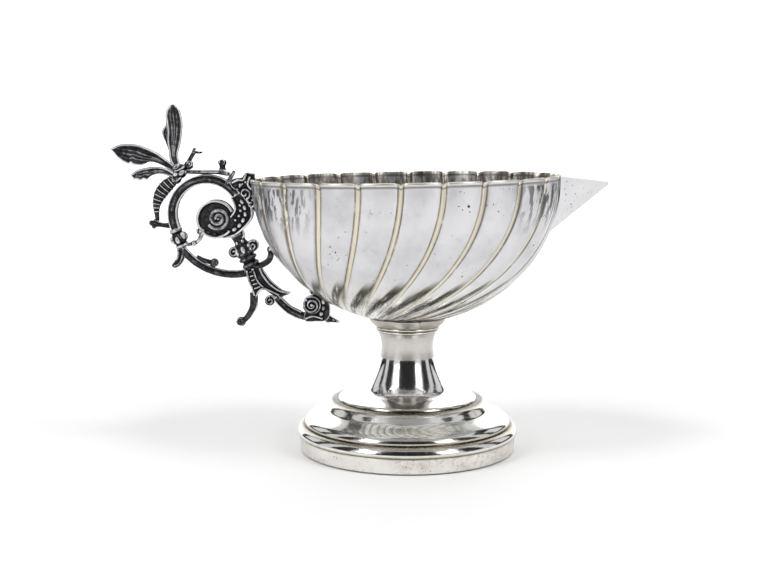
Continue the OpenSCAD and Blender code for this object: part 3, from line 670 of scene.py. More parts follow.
bowl_low, bowl_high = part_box("bowl")
half_length = (bowl_high.x - bowl_low.x) / 2
half_width = (bowl_high.y - bowl_low.y) / 2 - 0.0005
rim_z = 0.1224
bowl_depth = 0.0644
seat_turn = math.acos((rim_z - bowl_low.z) / bowl_depth)
bowl_mesh = grown("bowl_rule", bpy.data.meshes.new("seed"), bowl_tree(), {
    "Half length": 0.068, "Half width": 0.056, "Rim height": rim_z, "Depth": bowl_depth,
    "Seat turn": seat_turn, "Flutes": 22.0, "First groove": math.radians(185.6),
    "Oval": math.radians(2.75), "Swirl": math.radians(50), "Bulge": 0.0015,
    "Groove depth": 0.0009, "Groove width": 0.066, "Wall": 0.0013, "Rim rise": 0.0011,
    "Scallop": 0.0012, "Silver": bowl_silver})

spout_low, spout_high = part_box("spout")
notch_foot = spout_low.z + 0.0068
notch_half = spout_high.y - 0.0018


def notch_half_width(z):
    return notch_half * (1 - max(0.0, (rim_z - z) / (rim_z - notch_foot)) ** 1.5)


heights = [notch_foot + (rim_z - notch_foot) * (i / 24) for i in range(25)]
side = [(notch_half_width(z), z) for z in heights] + [(notch_half, rim_z + 0.006)]
loop = side + [(-y, z) for y, z in reversed(side[1:])]
# The wedge should cut the notch, but the cut does not take: the bowl's mesh has a few faulty edges,
# and the solver leaves a faulty mesh whole. The wall still stands behind the spout.
wedge_mesh = bpy.data.meshes.new("notch")
wedge_mesh.from_pydata([(x, y, z) for x in (0.040, 0.090) for y, z in loop], [],
                       [tuple(range(len(loop))), tuple(range(2 * len(loop) - 1, len(loop) - 1, -1))]
                       + [(i, i + len(loop), (i + 1) % len(loop) + len(loop), (i + 1) % len(loop))
                          for i in range(len(loop))])
wedge = bpy.data.objects.new("notch", wedge_mesh)
scene.collection.objects.link(wedge)
bowl = bpy.data.objects.new("silver_bowl", bowl_mesh)
scene.collection.objects.link(bowl)
bm = bmesh.new()
bm.from_mesh(bowl_mesh)
bmesh.ops.recalc_face_normals(bm, faces=bm.faces)
bm.to_mesh(bowl_mesh)
bm.free()
cut = bowl.modifiers.new("notch", "BOOLEAN")
cut.operation = "DIFFERENCE"
cut.solver = "MANIFOLD"
cut.object = wedge
bpy.context.view_layer.update()
cut_mesh = bpy.data.meshes.new_from_object(bowl.evaluated_get(bpy.context.evaluated_depsgraph_get()))
bowl.modifiers.clear()
bowl.data = cut_mesh
bpy.data.objects.remove(wedge)
cut_mesh.materials.clear()
cut_mesh.materials.append(bowl_silver)
cut_mesh.shade_smooth()
cut_mesh.set_sharp_from_angle(angle=math.radians(50))
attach(bowl, "root")
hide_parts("bowl")

# ---- Spout -----------------------------------------------------------------------------------------
# A beak of flat sheet folded along its keel and soldered to the bowl all round, on the real boat
# over a notch. Its sides are almost flat, its two edges rubbed to the same thin lip as the rim.

spout_silver = silver_sheet("spout_silver", light=(0.79, 0.78, 0.79), dull=(0.70, 0.69, 0.71),
                            shine=0.30, pits=1.1)
tip_x, tip_z = spout_high.x * 1000, 120.4
root_x, root_z = 56.0, 92.2
root_half = spout_high.y * 1000 + 0.4
lip_z = spout_high.z * 1000


def bowl_level(x, y, z, inset):
    """Below 1 inside the bowl's smooth oval, inset by so many millimetres, above 1 outside it."""
    fall = max(0.0, rim_z * 1000 - z)
    return math.sqrt((x / (68.3 - inset)) ** 2 + (y / (56.3 - inset)) ** 2
                     + (fall / (bowl_depth * 1000 + 0.3 - inset)) ** 2)


def spout_point(s, u, inward):
    """s runs across from edge to edge, u from the bowl to the tip, inward is 0 outside, 1 inside."""
    a = abs(s)
    x0 = root_x + 8.4 * a ** 0.7
    half = root_half * (1 - u) + 0.9 * u
    spread = (1 - (1 - a) ** 1.5) * (1 - u) + a * u
    y = math.copysign(half * spread, s)
    z = (lip_z - (lip_z - root_z) * (1 - a)) * (1 - u) + (tip_z - 1.2 * (1 - a)) * u
    x = x0 + (tip_x - x0) * u
    x -= 0.9 * u * inward
    y *= 1 - inward * min(0.7, 1.15 / half)
    z += inward * 1.15 * (1.5 - 0.9 * u) * (1 - a)
    return x, y, z


half_count, u_steps = 16, 44
across_out = [k / half_count for k in range(-half_count, half_count + 1)]
walk = [(s, 0.0) for s in across_out] + [(s, 1.0) for s in reversed(across_out)]
loops = []
for i in range(u_steps + 1):
    ring = []
    for s, inward in walk:
        low, high = 0.0, 1.0
        for _ in range(24):
            middle = (low + high) / 2
            if bowl_level(*spout_point(s, middle, 0.0), 0.6) < 1:
                low = middle
            else:
                high = middle
        u = low + (1 - low) * (i / u_steps)
        x, y, z = spout_point(s, u, inward)
        if abs(s) == 1:
            z += 0.25
        ring.append((x, y, z))
    loops.append(ring)
count = len(loops[0])
vertices = [p for ring in loops for p in ring]
faces = [(i * count + k, i * count + (k + 1) % count, (i + 1) * count + (k + 1) % count,
          (i + 1) * count + k) for i in range(u_steps) for k in range(count)]
ends = 2 * half_count + 1
for start in (0, u_steps * count):
    faces += [(start + k, start + k + 1, start + count - 2 - k, start + count - 1 - k)
              for k in range(ends - 1)]
add_piece("silver_spout", vertices, faces, spout_silver, "spout", sharp=40)

# ---- Handle: how its castings are drawn ------------------------------------------------------------
# The handle is cast silver, blackened with sulphur, waxed thinly and rubbed so that only its high
# edges shine. Each casting is laid up from rods, slabs, beads and coils and then melted together,
# the way a wax pattern is built, so its corners come out round.


def casting_silver():
    material, tree, shader = metal("oxidised_silver")
    wear = attribute(tree, "wear")
    patch = noise(tree, 2.2, 3.0, rough=0.6)
    grain = noise(tree, 0.45, 2.0)
    rubbed = (wear + (patch - 0.5) * 0.55 + (grain - 0.5) * 0.35).rise(0.62, 1.02)
    deep = 1 - wear.rise(0.10, 0.45)
    colour = mix_colour(tree, patch.rise(0.4, 0.7), (0.026, 0.027, 0.031), (0.085, 0.085, 0.092))
    colour = mix_colour(tree, deep * 0.8, colour, (0.006, 0.006, 0.007))
    colour = mix_colour(tree, rubbed * 0.9, colour, (0.86, 0.86, 0.88))
    rough = 0.40 - rubbed * 0.14 + grain * 0.10
    shader.inputs["Coat Weight"].default_value = 0.12
    shader.inputs["Coat Roughness"].default_value = 0.10
    finish_metal(tree, shader, colour, rough, grain * 0.7 + patch * 0.4, 0.07)
    return material


oxidised_silver = casting_silver()


def rod(points, y=0.0, steps=5, sides=12):
    """A round rod along (x, z, radius) points in the handle's plane, y off it."""
    line = smooth_run(points, steps) if steps > 1 else [tuple(p) for p in points]
    vertices, faces = [], []
    for i, (x, z, r) in enumerate(line):
        a, b = line[max(i - 1, 0)], line[min(i + 1, len(line) - 1)]
        run = math.hypot(b[0] - a[0], b[1] - a[1]) or 1.0
        tx, tz = (b[0] - a[0]) / run, (b[1] - a[1]) / run
        for k in range(sides):
            c, s = math.cos(math.tau * k / sides), math.sin(math.tau * k / sides)
            vertices.append((x - r * c * tz, y + r * s, z + r * c * tx))
    for i in range(len(line) - 1):
        for k in range(sides):
            n = (k + 1) % sides
            faces.append((i * sides + k, i * sides + n, (i + 1) * sides + n, (i + 1) * sides + k))
    faces.append(tuple(reversed(range(sides))))
    faces.append(tuple(range((len(line) - 1) * sides, len(line) * sides)))
    return vertices, faces


def slab(outline, depth, y=0.0, steps=4):
    """A flat slab with this (x, z) outline, smoothed when steps is more than 1."""
    line = outline
    if steps > 1:
        line = smooth_run([outline[-1], *outline, outline[0], outline[1]], steps)[steps:-steps - 1]
    n = len(line)
    vertices = [(x, y - depth / 2, z) for x, z in line] + [(x, y + depth / 2, z) for x, z in line]
    faces = [tuple(range(n)), tuple(range(2 * n - 1, n - 1, -1))]
    faces += [(i, i + n, (i + 1) % n + n, (i + 1) % n) for i in range(n)]
    return vertices, faces


def bead(x, z, r, y=0.0, flat=1.0, long=1.0, aim=0.0):
    """A round bead, flattened across the handle or stretched along the direction aim."""
    vertices, faces = [], []
    c, s = math.cos(math.radians(aim)), math.sin(math.radians(aim))
    for i in range(1, 8):
        up, ring = math.cos(math.pi * i / 8), math.sin(math.pi * i / 8)
        for k in range(14):
            px = r * long * ring * math.cos(math.tau * k / 14)
            pz = r * ring * math.sin(math.tau * k / 14)
            vertices.append((x + px * c - pz * s, y + r * flat * up, z + px * s + pz * c))
    faces += [(i * 14 + k, i * 14 + (k + 1) % 14, (i + 1) * 14 + (k + 1) % 14, (i + 1) * 14 + k)
              for i in range(6) for k in range(14)]
    faces += [tuple(reversed(range(14))), tuple(range(84, 98))]
    return vertices, faces


def spun(outline, at, toward, sides=28):
    """A turned part, (radius, height) from one point of the handle's plane toward another."""
    dx, dz = toward[0] - at[0], toward[1] - at[1]
    run = math.hypot(dx, dz)
    dx, dz = dx / run, dz / run
    vertices = [(at[0] + dx * h + dz * r * math.cos(math.tau * k / sides),
                 r * math.sin(math.tau * k / sides),
                 at[1] + dz * h - dx * r * math.cos(math.tau * k / sides))
                for r, h in outline for k in range(sides)]
    faces = [(i * sides + k, i * sides + (k + 1) % sides, (i + 1) * sides + (k + 1) % sides,
              (i + 1) * sides + k) for i in range(len(outline) - 1) for k in range(sides)]
    faces += [tuple(reversed(range(sides))),
              tuple(range((len(outline) - 1) * sides, len(outline) * sides))]
    return vertices, faces


def arc(x, z, radius, start, end, wire, pieces=24):
    """Points of a rod bent to an arc; the radius, like the wire, may be a pair for a coil."""
    r0, r1 = radius if isinstance(radius, tuple) else (radius, radius)
    w0, w1 = wire if isinstance(wire, tuple) else (wire, wire)
    return [(x + (r0 + (r1 - r0) * i / pieces) * math.cos(math.radians(start + (end - start) * i / pieces)),
             z + (r0 + (r1 - r0) * i / pieces) * math.sin(math.radians(start + (end - start) * i / pieces)),
             w0 + (w1 - w0) * i / pieces) for i in range(pieces + 1)]


def both_faces(y, make):
    """The same ornament on the front and on the back of a casting."""
    return [make(-y), make(y)]


def beading_tree():
    """Beads strung at even steps along a line, as many and as big as asked."""
    tree = bpy.data.node_groups.new("beading", "GeometryNodeTree")
    for name, kind in (("Line", "NodeSocketGeometry"), ("Count", "NodeSocketInt"),
                       ("Radius", "NodeSocketFloat"), ("Length", "NodeSocketFloat"),
                       ("Flatness", "NodeSocketFloat"), ("Silver", "NodeSocketMaterial")):
        tree.interface.new_socket(name, in_out="INPUT", socket_type=kind)
    tree.interface.new_socket("Beads", in_out="OUTPUT", socket_type="NodeSocketGeometry")
    given = tree.nodes.new("NodeGroupInput").outputs
    line = tree.nodes.new("GeometryNodeMeshToCurve")
    spaced = tree.nodes.new("GeometryNodeResampleCurve")
    ball = tree.nodes.new("GeometryNodeMeshUVSphere")
    ball.inputs["Segments"].default_value = 12
    ball.inputs["Rings"].default_value = 8
    tangent = tree.nodes.new("GeometryNodeInputTangent")
    aim = tree.nodes.new("FunctionNodeAlignEulerToVector")
    aim.axis = "X"
    aim.pivot_axis = "Y"
    form = tree.nodes.new("ShaderNodeCombineXYZ")
    placed = tree.nodes.new("GeometryNodeInstanceOnPoints")
    realize = tree.nodes.new("GeometryNodeRealizeInstances")
    coat = tree.nodes.new("GeometryNodeSetMaterial")
    end = tree.nodes.new("NodeGroupOutput")
    link = tree.links.new
    link(given["Line"], line.inputs["Mesh"])
    link(line.outputs["Curve"], spaced.inputs["Curve"])
    link(given["Count"], spaced.inputs["Count"])
    link(given["Radius"], ball.inputs["Radius"])
    link(tangent.outputs["Tangent"], aim.inputs["Vector"])
    link(given["Length"], form.inputs["X"])
    link(given["Flatness"], form.inputs["Y"])
    form.inputs["Z"].default_value = 1.0
    link(spaced.outputs["Curve"], placed.inputs["Points"])
    link(ball.outputs["Mesh"], placed.inputs["Instance"])
    link(aim.outputs["Rotation"], placed.inputs["Rotation"])
    link(form.outputs["Vector"], placed.inputs["Scale"])
    link(placed.outputs["Instances"], realize.inputs["Geometry"])
    link(realize.outputs["Geometry"], coat.inputs["Geometry"])
    link(given["Silver"], coat.inputs["Material"])
    link(coat.outputs["Geometry"], end.inputs["Beads"])
    return tree


beading = beading_tree()


def beads(points, count, radius, y=0.0, length=1.0, flatness=1.0):
    """Beading along (x, z) points, as vertices and faces for a casting."""
    line = smooth_run(points, 6)
    thread = bpy.data.meshes.new("thread")
    thread.from_pydata([(p[0], y, p[1]) for p in line], [(i, i + 1) for i in range(len(line) - 1)], [])
    mesh = grown("beading", thread, beading, {
        "Count": count, "Radius": radius, "Length": length, "Flatness": flatness,
        "Silver": oxidised_silver})
    return [tuple(v.co) for v in mesh.vertices], [tuple(f.vertices) for f in mesh.polygons]


def cast(node, parts, grain=0.17, soften=2, against_bowl=False, rubbed=0.0):
    """Melts the parts to one casting, marks its worn edges and sets it on its CAD node's middle."""
    vertices, faces = [], []
    for part_vertices, part_faces in parts:
        faces += [tuple(i + len(vertices) for i in face) for face in part_faces]
        vertices += part_vertices
    mesh = bpy.data.meshes.new(node)
    mesh.from_pydata(vertices, [], faces)
    bm = bmesh.new()
    bm.from_mesh(mesh)
    bmesh.ops.recalc_face_normals(bm, faces=bm.faces)
    bm.to_mesh(mesh)
    bm.free()
    blank = bpy.data.objects.new(node, mesh)
    scene.collection.objects.link(blank)
    melt = blank.modifiers.new("melt", "REMESH")
    melt.mode = "VOXEL"
    melt.voxel_size = grain
    ease = blank.modifiers.new("ease", "SMOOTH")
    ease.factor = 0.5
    ease.iterations = soften
    bpy.context.view_layer.update()
    mesh = bpy.data.meshes.new_from_object(blank.evaluated_get(bpy.context.evaluated_depsgraph_get()))
    bpy.data.objects.remove(blank)

    place = np.empty(len(mesh.vertices) * 3)
    mesh.vertices.foreach_get("co", place)
    place = place.reshape(-1, 3)
    normal = np.empty(len(mesh.vertices) * 3)
    mesh.vertices.foreach_get("normal", normal)
    normal = normal.reshape(-1, 3)
    edges = np.empty(len(mesh.edges) * 2, dtype=np.int64)
    mesh.edges.foreach_get("vertices", edges)
    a, b = edges.reshape(-1, 2).T
    near = np.maximum(np.bincount(a, minlength=len(place)) + np.bincount(b, minlength=len(place)), 1)

    def spread(values, times):
        for _ in range(times):
            total = np.zeros_like(values)
            np.add.at(total, a, values[b])
            np.add.at(total, b, values[a])
            values = total / near.reshape(-1, *[1] * (values.ndim - 1))
        return values

    height = ((place - spread(place, 14)) * normal).sum(axis=1)
    wear = np.clip(spread(height, 1) / 0.16 + 0.35 + rubbed, 0.0, 1.3)

    low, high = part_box(node)
    middle = (np.array(low) + np.array(high)) * 500
    mine = (place.min(axis=0) + place.max(axis=0)) / 2
    shift = middle - mine
    shift[1] = 0.0 if abs(middle[1]) < 0.3 else shift[1]
    if np.abs(shift).max() > 0.8:
        print("far from its node:", node, shift.round(2))
        shift = np.clip(shift, -0.8, 0.8)
    place = place + shift
    if against_bowl:
        fall = np.maximum(0.0, rim_z * 1000 - place[:, 2])
        level = np.sqrt((place[:, 0] / 67.9) ** 2 + (place[:, 1] / 55.9) ** 2
                        + (fall / (bowl_depth * 1000 - 0.3)) ** 2)
        push = 1 / np.minimum(level, 1.0)
        place[:, 0] *= push
        place[:, 1] *= push
        place[:, 2] = np.where(fall > 0, rim_z * 1000 - fall * push, place[:, 2])
    mesh.vertices.foreach_set("co", (place / 1000.0).ravel())
    mark = mesh.attributes.new("wear", "FLOAT", "POINT")
    mark.data.foreach_set("value", wear.astype(np.float32))
    mesh.update()
    mesh.shade_smooth()
    mesh.materials.clear()
    mesh.materials.append(oxidised_silver)
    piece = bpy.data.objects.new("cast_" + node, mesh)
    scene.collection.objects.link(piece)
    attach(piece, "root")
    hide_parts(node)
    return piece


# ---- Big ring --------------------------------------------------------------------------------------
# The handle's grip: a cast bar bent almost to a full ring, its flat faces chased with a row of
# laurel leaves between two raised edges. It ends in the bracket on the right and the knop below.

ring_low, ring_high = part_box("handle_ring")
ring_x, ring_z = ring_low.x * 1000 + 17.4, ring_high.z * 1000 - 17.4
ring_parts = [rod(arc(ring_x, ring_z, 15.5, 32, 207, 1.95, 40), sides=16, y=y, steps=1)
              for y in (-0.75, 0.0, 0.75)]
for y in (-1.9, 1.9):
    ring_parts += [rod(arc(ring_x, ring_z, 17.05, 32, 207, 0.55, 48), y=y, steps=1, sides=8),
                   rod(arc(ring_x, ring_z, 13.85, 32, 207, 0.6, 48), y=y, steps=1, sides=8)]
    for shift in (-0.55, 0.55):
        line = [(p[0], p[1]) for p in arc(ring_x, ring_z, 15.5 + shift, 38, 200, 1)]
        ring_parts.append(beads(line, 30, 0.66, y=y * 1.06, length=1.25, flatness=0.6))
cast("handle_ring", ring_parts, grain=0.2)

# ---- Thumb rest, knob and clasp --------------------------------------------------------------------
# A strap soldered along the top of the ring for the thumb, with a small bud on it, and the slanted
# band that seems to bind the strap to the ring.

cast("thumb_rest", [
    slab([(-99.1, 124.4), (-92.1, 124.0), (-85, 124.0), (-79.8, 123.2), (-79.3, 124.9),
          (-85, 125.6), (-92.1, 125.7), (-99.1, 125.6)], 3.6),
    *both_faces(1.85, lambda y: rod([(-98.7, 125.1, 0.75), (-92.1, 125.1, 0.7), (-85, 125.1, 0.7),
                                     (-79.9, 124.4, 0.75)], y=y))], grain=0.15)
cast("thumb_knob", [
    spun([(1.9, 0), (1.5, 0.8), (1.35, 1.7), (1.5, 2.4), (1.9, 3.0), (2, 3.7), (1.7, 4.3),
          (1, 4.75), (0.4, 4.95)], (-82.1, 125.6), (-82.1, 131.1)),
    *both_faces(1.5, lambda y: rod(arc(-82.1, 129.2, 1.0, 200, -120, (0.4, 0.25)), y=y, steps=1,
                                   sides=8))], grain=0.13, soften=1)
cast("clasp_band", [
    spun([(2.9, 0), (3.7, 0.1), (4, 0.45), (3.7, 0.75), (4, 1.05), (3.7, 1.5), (2.9, 1.6)],
         (-79.6, 122.2), (-78.6, 121.6))], grain=0.13, soften=1)

# ---- Bracket at the rim ----------------------------------------------------------------------------
# The block that carries the handle's weight. It is cast as a curled leaf with a pointed lobe on
# top and two rolled ones below, and it is filed to fit the bowl before it is soldered on.

bracket = [slab([(-77.3, 118.6), (-77.1, 121.4), (-74.6, 122.3), (-72.6, 122.5), (-70.9, 124.6),
                 (-68.4, 124.3), (-64.5, 123.6), (-62.7, 119), (-61.7, 112), (-61.9, 108.6),
                 (-66.6, 107.2), (-69.4, 109.9), (-71.6, 113.2), (-74.2, 116.2)], 4.9)]
for y in (-2.7, 2.7):
    bracket += [rod([(-77, 120.2, 0.5), (-74.3, 121.4, 0.6), (-71.8, 121.6, 0.6), (-70.7, 124, 0.5)], y=y),
                rod(arc(-71.3, 115.4, (2.5, 0.4), -70, 380, (0.55, 0.4)), y=y, steps=1, sides=8),
                rod([(-68.9, 122.9, 0.6), (-69.9, 119.7, 0.6), (-68.4, 117.2, 0.5)], y=y),
                rod(arc(-68.6, 110.9, (1.9, 0.3), 80, -330, (0.5, 0.35)), y=y, steps=1, sides=8),
                bead(-73.2, 119.2, 0.8, y=y), bead(-67.7, 114.4, 0.7, y=y)]
    bracket.append(beads([(-74.6, 117.3), (-72.3, 119.7), (-69.5, 121.2)], 5, 0.5, y=y * 0.98))
cast("rim_bracket", bracket, grain=0.15, against_bowl=True)

# ---- Scroll branch and volute ----------------------------------------------------------------------
# From the bracket the bar swings back inside the ring and rolls up into a volute with a raised
# edge, a raised spiral on both faces and a string of beads along its underside.

vx, vz = -85.2, 103.6
scroll = [slab([(vx + 8.1 * math.cos(math.radians(t)), vz + 8.1 * math.sin(math.radians(t)))
                for t in range(0, 360, 12)], 4.6),
          slab([(-78.2, 113.0), (-74.9, 115.4), (-71.6, 113.1), (-69.4, 109.8), (-68.7, 106.8),
                (-69.6, 103.8), (-71.6, 100.7), (-75.7, 96.9), (-80.5, 95.2), (-82.9, 98.3),
                (-79.3, 102.9), (-76.3, 106.6), (-76.2, 109.8)], 4.4),
          slab([(-77.6, 97.2), (-73.6, 98.6), (-72.6, 95.8), (-75.2, 94.2), (-77.8, 94.9)], 4.2)]
for y in (-2.35, 2.35):
    scroll += [rod(arc(vx, vz, 8.05, 25, 320, 0.7, 40), y=y, steps=1, sides=8),
               rod([(-77.7, 112.6, 0.5), (-76.3, 109.2, 0.55), (-77, 106.5, 0.5),
                    (-78.6, 104.4, 0.4)], y=y),
               rod([(-71.5, 112.6, 0.5), (-69.3, 108.8, 0.55), (-69.4, 104.2, 0.55), (-72.6, 99.9, 0.55),
                    (-77.2, 96.4, 0.55), (-82.0, 95.3, 0.5)], y=y)]
    scroll.append(beads([(-79.6, 98.0), (-76.0, 99.6), (-73.0, 103.0), (-71.9, 107.2), (-73.4, 111.3)],
                        7, 0.85, y=y * 0.96, length=1.5, flatness=0.5))
    scroll.append(beads([(-76.4, 103.2), (-74.2, 106.2), (-74.3, 109.8)], 4, 0.6, y=y * 0.98, flatness=0.6))
    scroll.append(beads([(-88.9, 97.6), (-85.2, 96.6), (-81.6, 97.1)], 3, 0.8, y=y * 0.96, length=1.6,
                        flatness=0.5))
cast("scroll_branch", scroll, grain=0.18)
spiral = []
for y in (-3.1, 3.1):
    spiral += [rod(arc(vx + 0.9, vz + 0.9, (5.0, 0.6), 215, 215 + 700, (0.7, 0.95), 60), y=y, steps=1),
               bead(vx + 0.9, vz + 0.9, 0.8, y=y)]
cast("volute_spirals", spiral, grain=0.13, soften=1, rubbed=0.12)

# ---- Blossom twig ----------------------------------------------------------------------------------
# A thin cast twig from the knop up to the volute, with a bead on its bend and a five-petalled
# blossom at its end.

twig = [rod([(-98.5, 92.6, 0.9), (-96.5, 93.1, 0.8), (-93.7, 94.1, 0.9), (-92.1, 96.5, 1),
             (-91.7, 98.7, 1.1)]),
        bead(-95.3, 93.4, 1.35)]
for turn in range(5):
    a = math.radians(90 + turn * 72)
    twig.append(bead(-92.1 + 1.15 * math.cos(a), 98.9 + 1.15 * math.sin(a), 0.85, y=-2.5, flat=0.9))
twig += [bead(-92.1, 98.9, 1.5, y=-1.8), bead(-92.1, 98.9, 0.6, y=-3.4)]
cast("blossom_twig", twig, grain=0.13, soften=1, rubbed=0.18)

# ---- Knop, its leaf, lower arc and berry -----------------------------------------------------------
# The ring ends in a turned knop between two collars. From it the lower arc runs on in a wider
# curve, with a berry on a stalk inside and a divided leaf hanging outside.

knop_top, knop_foot = (-103.4, 99.3), (-100.1, 91.3)
kx, kz = knop_foot[0] - knop_top[0], knop_foot[1] - knop_top[1]
knop_length = math.hypot(kx, kz)
knop = [spun([(2.2, -0.6), (2.7, -0.5), (3.1, 0.1), (3, 0.8), (2.5, 1.4), (2.4, 1.8), (3.3, 2.4),
              (4.0, 3.3), (4.2, 4.2), (3.9, 5.1), (3.1, 5.9), (2.5, 6.4), (2.6, 6.8), (3.1, 7.2),
              (3.2, 7.8), (2.7, 8.4), (2.2, knop_length)], knop_top, knop_foot)]
across = (kz / knop_length, -kx / knop_length)
for offset, height in ((-2.3, 3.6), (0.4, 4.6), (2.6, 3.9)):
    for y in (-1, 1):
        depth = y * math.sqrt(4.0 ** 2 - offset ** 2) * 0.9
        knop.append(bead(knop_top[0] + kx * height / knop_length + across[0] * offset,
                         knop_top[1] + kz * height / knop_length + across[1] * offset, 1.15, y=depth,
                         long=1.5, aim=math.degrees(math.atan2(kz, kx))))
cast("collar_knop", knop, grain=0.14, soften=1, rubbed=0.15)

cast("collar_leaf", [
    slab([(-102.9, 91.6), (-99.3, 90.6), (-99.6, 87.6), (-100.3, 85.2), (-101.5, 83.4),
          (-102.9, 82.3), (-104.6, 82.0), (-105.4, 83.2), (-104.7, 84.6), (-103.5, 86.2),
          (-102.8, 88.4)], 2.4),
    *both_faces(1.1, lambda y: rod([(-100.3, 91.0, 0.7), (-100.6, 87.4, 0.6), (-102.3, 84, 0.5),
                                    (-104.4, 82.9, 0.5)], y=y)),
    *both_faces(1.1, lambda y: rod([(-102.4, 90.6, 0.5), (-102.3, 88.0, 0.5), (-103.3, 85.7, 0.4)], y=y)),
    bead(-104.6, 83.1, 1.15)], grain=0.13, soften=1)

cast("lower_arc", [
    rod(arc(-78, 107.3, 28.2, 213, 284, 1.6, 30), steps=1, sides=16),
    *both_faces(0.85, lambda y: rod(arc(-78, 107.3, 26.85, 214, 283, 0.45, 30), y=y, steps=1, sides=8)),
    *both_faces(0.75, lambda y: rod(arc(-78, 107.3, 29.4, 214, 283, 0.42, 30), y=y, steps=1, sides=8))],
     grain=0.15, soften=1)
cast("arc_bud", [
    rod([(-94.3, 87.1, 0.9), (-91.2, 85.5, 1.0), (-87.6, 84.4, 1.1)]),
    bead(-86.3, 84.4, 1.95), bead(-87.2, 82.6, 1.2),
    *both_faces(1.35, lambda y: rod(arc(-86.3, 84.4, 1.1, 120, -140, 0.3), y=y, steps=1, sides=6))],
     grain=0.12, soften=1)

# ---- Urn, its scrolls and bands --------------------------------------------------------------------
# Below the volute sits a small urn with a beaded belly and a scroll at each side, standing on two
# slanted bands like washers. A hook grows from the bands and rests on the bowl.

urn_top, urn_foot = (-75.5, 95.6), (-71.7, 87.3)
ux, uz = urn_foot[0] - urn_top[0], urn_foot[1] - urn_top[1]
urn_length = math.hypot(ux, uz)
ux, uz = ux / urn_length, uz / urn_length
urn = [spun([(2.7, -2), (3.0, -1.2), (2.7, 0.6), (2.7, 2), (3.4, 3.4), (4.3, 5), (4.6, 6.3), (4.5, 7.4),
             (3.8, 8.5), (3.3, urn_length)], urn_top, urn_foot)]
for along, offsets, size in ((2.2, (-1.2, 1.2), 0.8), (5.8, (-2.9, -0.1, 2.7), 1.25)):
    for offset in offsets:
        reach = 2.7 if along < 3 else 4.2
        for y in (-1, 1):
            urn.append(bead(urn_top[0] + ux * along + uz * offset, urn_top[1] + uz * along - ux * offset,
                            size, y=y * math.sqrt(max(0.5, reach ** 2 - offset ** 2)) * 0.93, long=1.5,
                            aim=math.degrees(math.atan2(uz, ux))))
cast("urn", urn, grain=0.15, soften=1, rubbed=0.10)
scrolls = []
for sx, sz, size in ((-77.5, 89.2, 2.5), (-69.2, 92.2, 2.7)):
    scrolls += [slab([(sx + size * math.cos(math.radians(t)), sz + size * math.sin(math.radians(t)))
                      for t in range(0, 360, 20)], 3.4)]
    scrolls += both_faces(1.8, lambda y: rod(arc(sx, sz, (size - 0.4, 0.3), 60, 520, (0.5, 0.4)), y=y,
                                             steps=1, sides=8))
cast("urn_scrolls", scrolls, grain=0.14, soften=1)
band_end = (urn_foot[0] + 5.2 * ux, urn_foot[1] + 5.2 * uz)
cast("urn_bands", [
    spun([(3.4, 0), (4.0, 0.3), (4.2, 0.9), (3.9, 1.6), (3.1, 2.0), (2.9, 2.4), (3.1, 2.8),
          (3.8, 3.3), (4.0, 3.9), (3.7, 4.6), (3.1, 5.2)], urn_foot, band_end, sides=36)],
     grain=0.13, soften=1)
cast("side_hook", [
    rod([(-68.4, 83.1, 1.4), (-65.5, 83.3, 1.4), (-62.1, 85.3, 1.4), (-60.9, 88.1, 1.4),
         (-61.1, 90.4, 1.3)]),
    bead(-60.9, 90.4, 1.8), *both_faces(1.5, lambda y: bead(-61.2, 90.5, 0.7, y=y)),
    *both_faces(0.8, lambda y: rod([(-68.0, 83.6, 0.4), (-65.3, 84.0, 0.35), (-62.7, 85.8, 0.35),
                                    (-61.8, 88.1, 0.3)], y=y))],
     grain=0.13, soften=1, against_bowl=True)

# ---- Leaf branch, leg, tail branch and rosette -----------------------------------------------------
# The lowest part: an acanthus leaf with a ladder of short bars, a curved leg that ends in a ball,
# a small volute under the leaf and a branch that runs to the rosette. The rosette and its
# pointed tip are soldered to the bowl and carry the lower end of the handle.

leaf = [slab([(-69.8, 83.1), (-65.6, 82.6), (-64.5, 81.2), (-61.6, 77), (-58.1, 73.7), (-55.8, 72.1),
              (-52.6, 71), (-55.2, 69.7), (-58.2, 68.2), (-61.7, 70.8), (-64, 72.6), (-65.9, 72),
              (-67.3, 70.3), (-68.3, 69.1), (-69.8, 73.5), (-71.0, 76.5), (-72.3, 79),
              (-72.8, 81.5)], 3.2)]
for y in (-1.75, 1.75):
    leaf += [rod([(-66.2, 82.4, 0.6), (-65.0, 79.6, 0.6), (-62.3, 75.8, 0.6), (-58.9, 73.0, 0.55),
                  (-55.8, 71.6, 0.45), (-53.0, 71.0, 0.35)], y=y),
             rod([(-71.9, 81.2, 0.55), (-71.2, 77.6, 0.55), (-69.8, 73.9, 0.5), (-68.5, 70.0, 0.5)], y=y),
             rod([(-68.9, 81.4, 0.35), (-67.7, 77.6, 0.35), (-65.3, 74.4, 0.35), (-61.6, 72.2, 0.4),
                  (-57.6, 70.2, 0.4)], y=y),
             rod([(-67.9, 69.8, 0.45), (-66.6, 71.9, 0.45), (-64.2, 73.3, 0.45), (-61.4, 71.9, 0.45)], y=y)]
    for i in range(5):
        t = i / 4
        x, z = -69.9 + 2.6 * t, 80.8 - 7.2 * t
        leaf.append(rod([(x - 1.3, z - 0.5, 0.40), (x + 1.3, z + 0.5, 0.34)], y=y * 0.95, steps=1, sides=8))
    leaf.append(bead(-69.3, 81.9, 0.7, y=y))
cast("leaf_branch", leaf, grain=0.14, soften=1)
leg = [rod([(-69.4, 71.6, 1.5), (-68.9, 68.9, 1.85), (-69.3, 65, 1.65), (-70.6, 62.1, 1.4),
            (-72.6, 59.4, 1.3), (-74.2, 58.4, 1.3)]), bead(-74.8, 58.0, 2.2)]
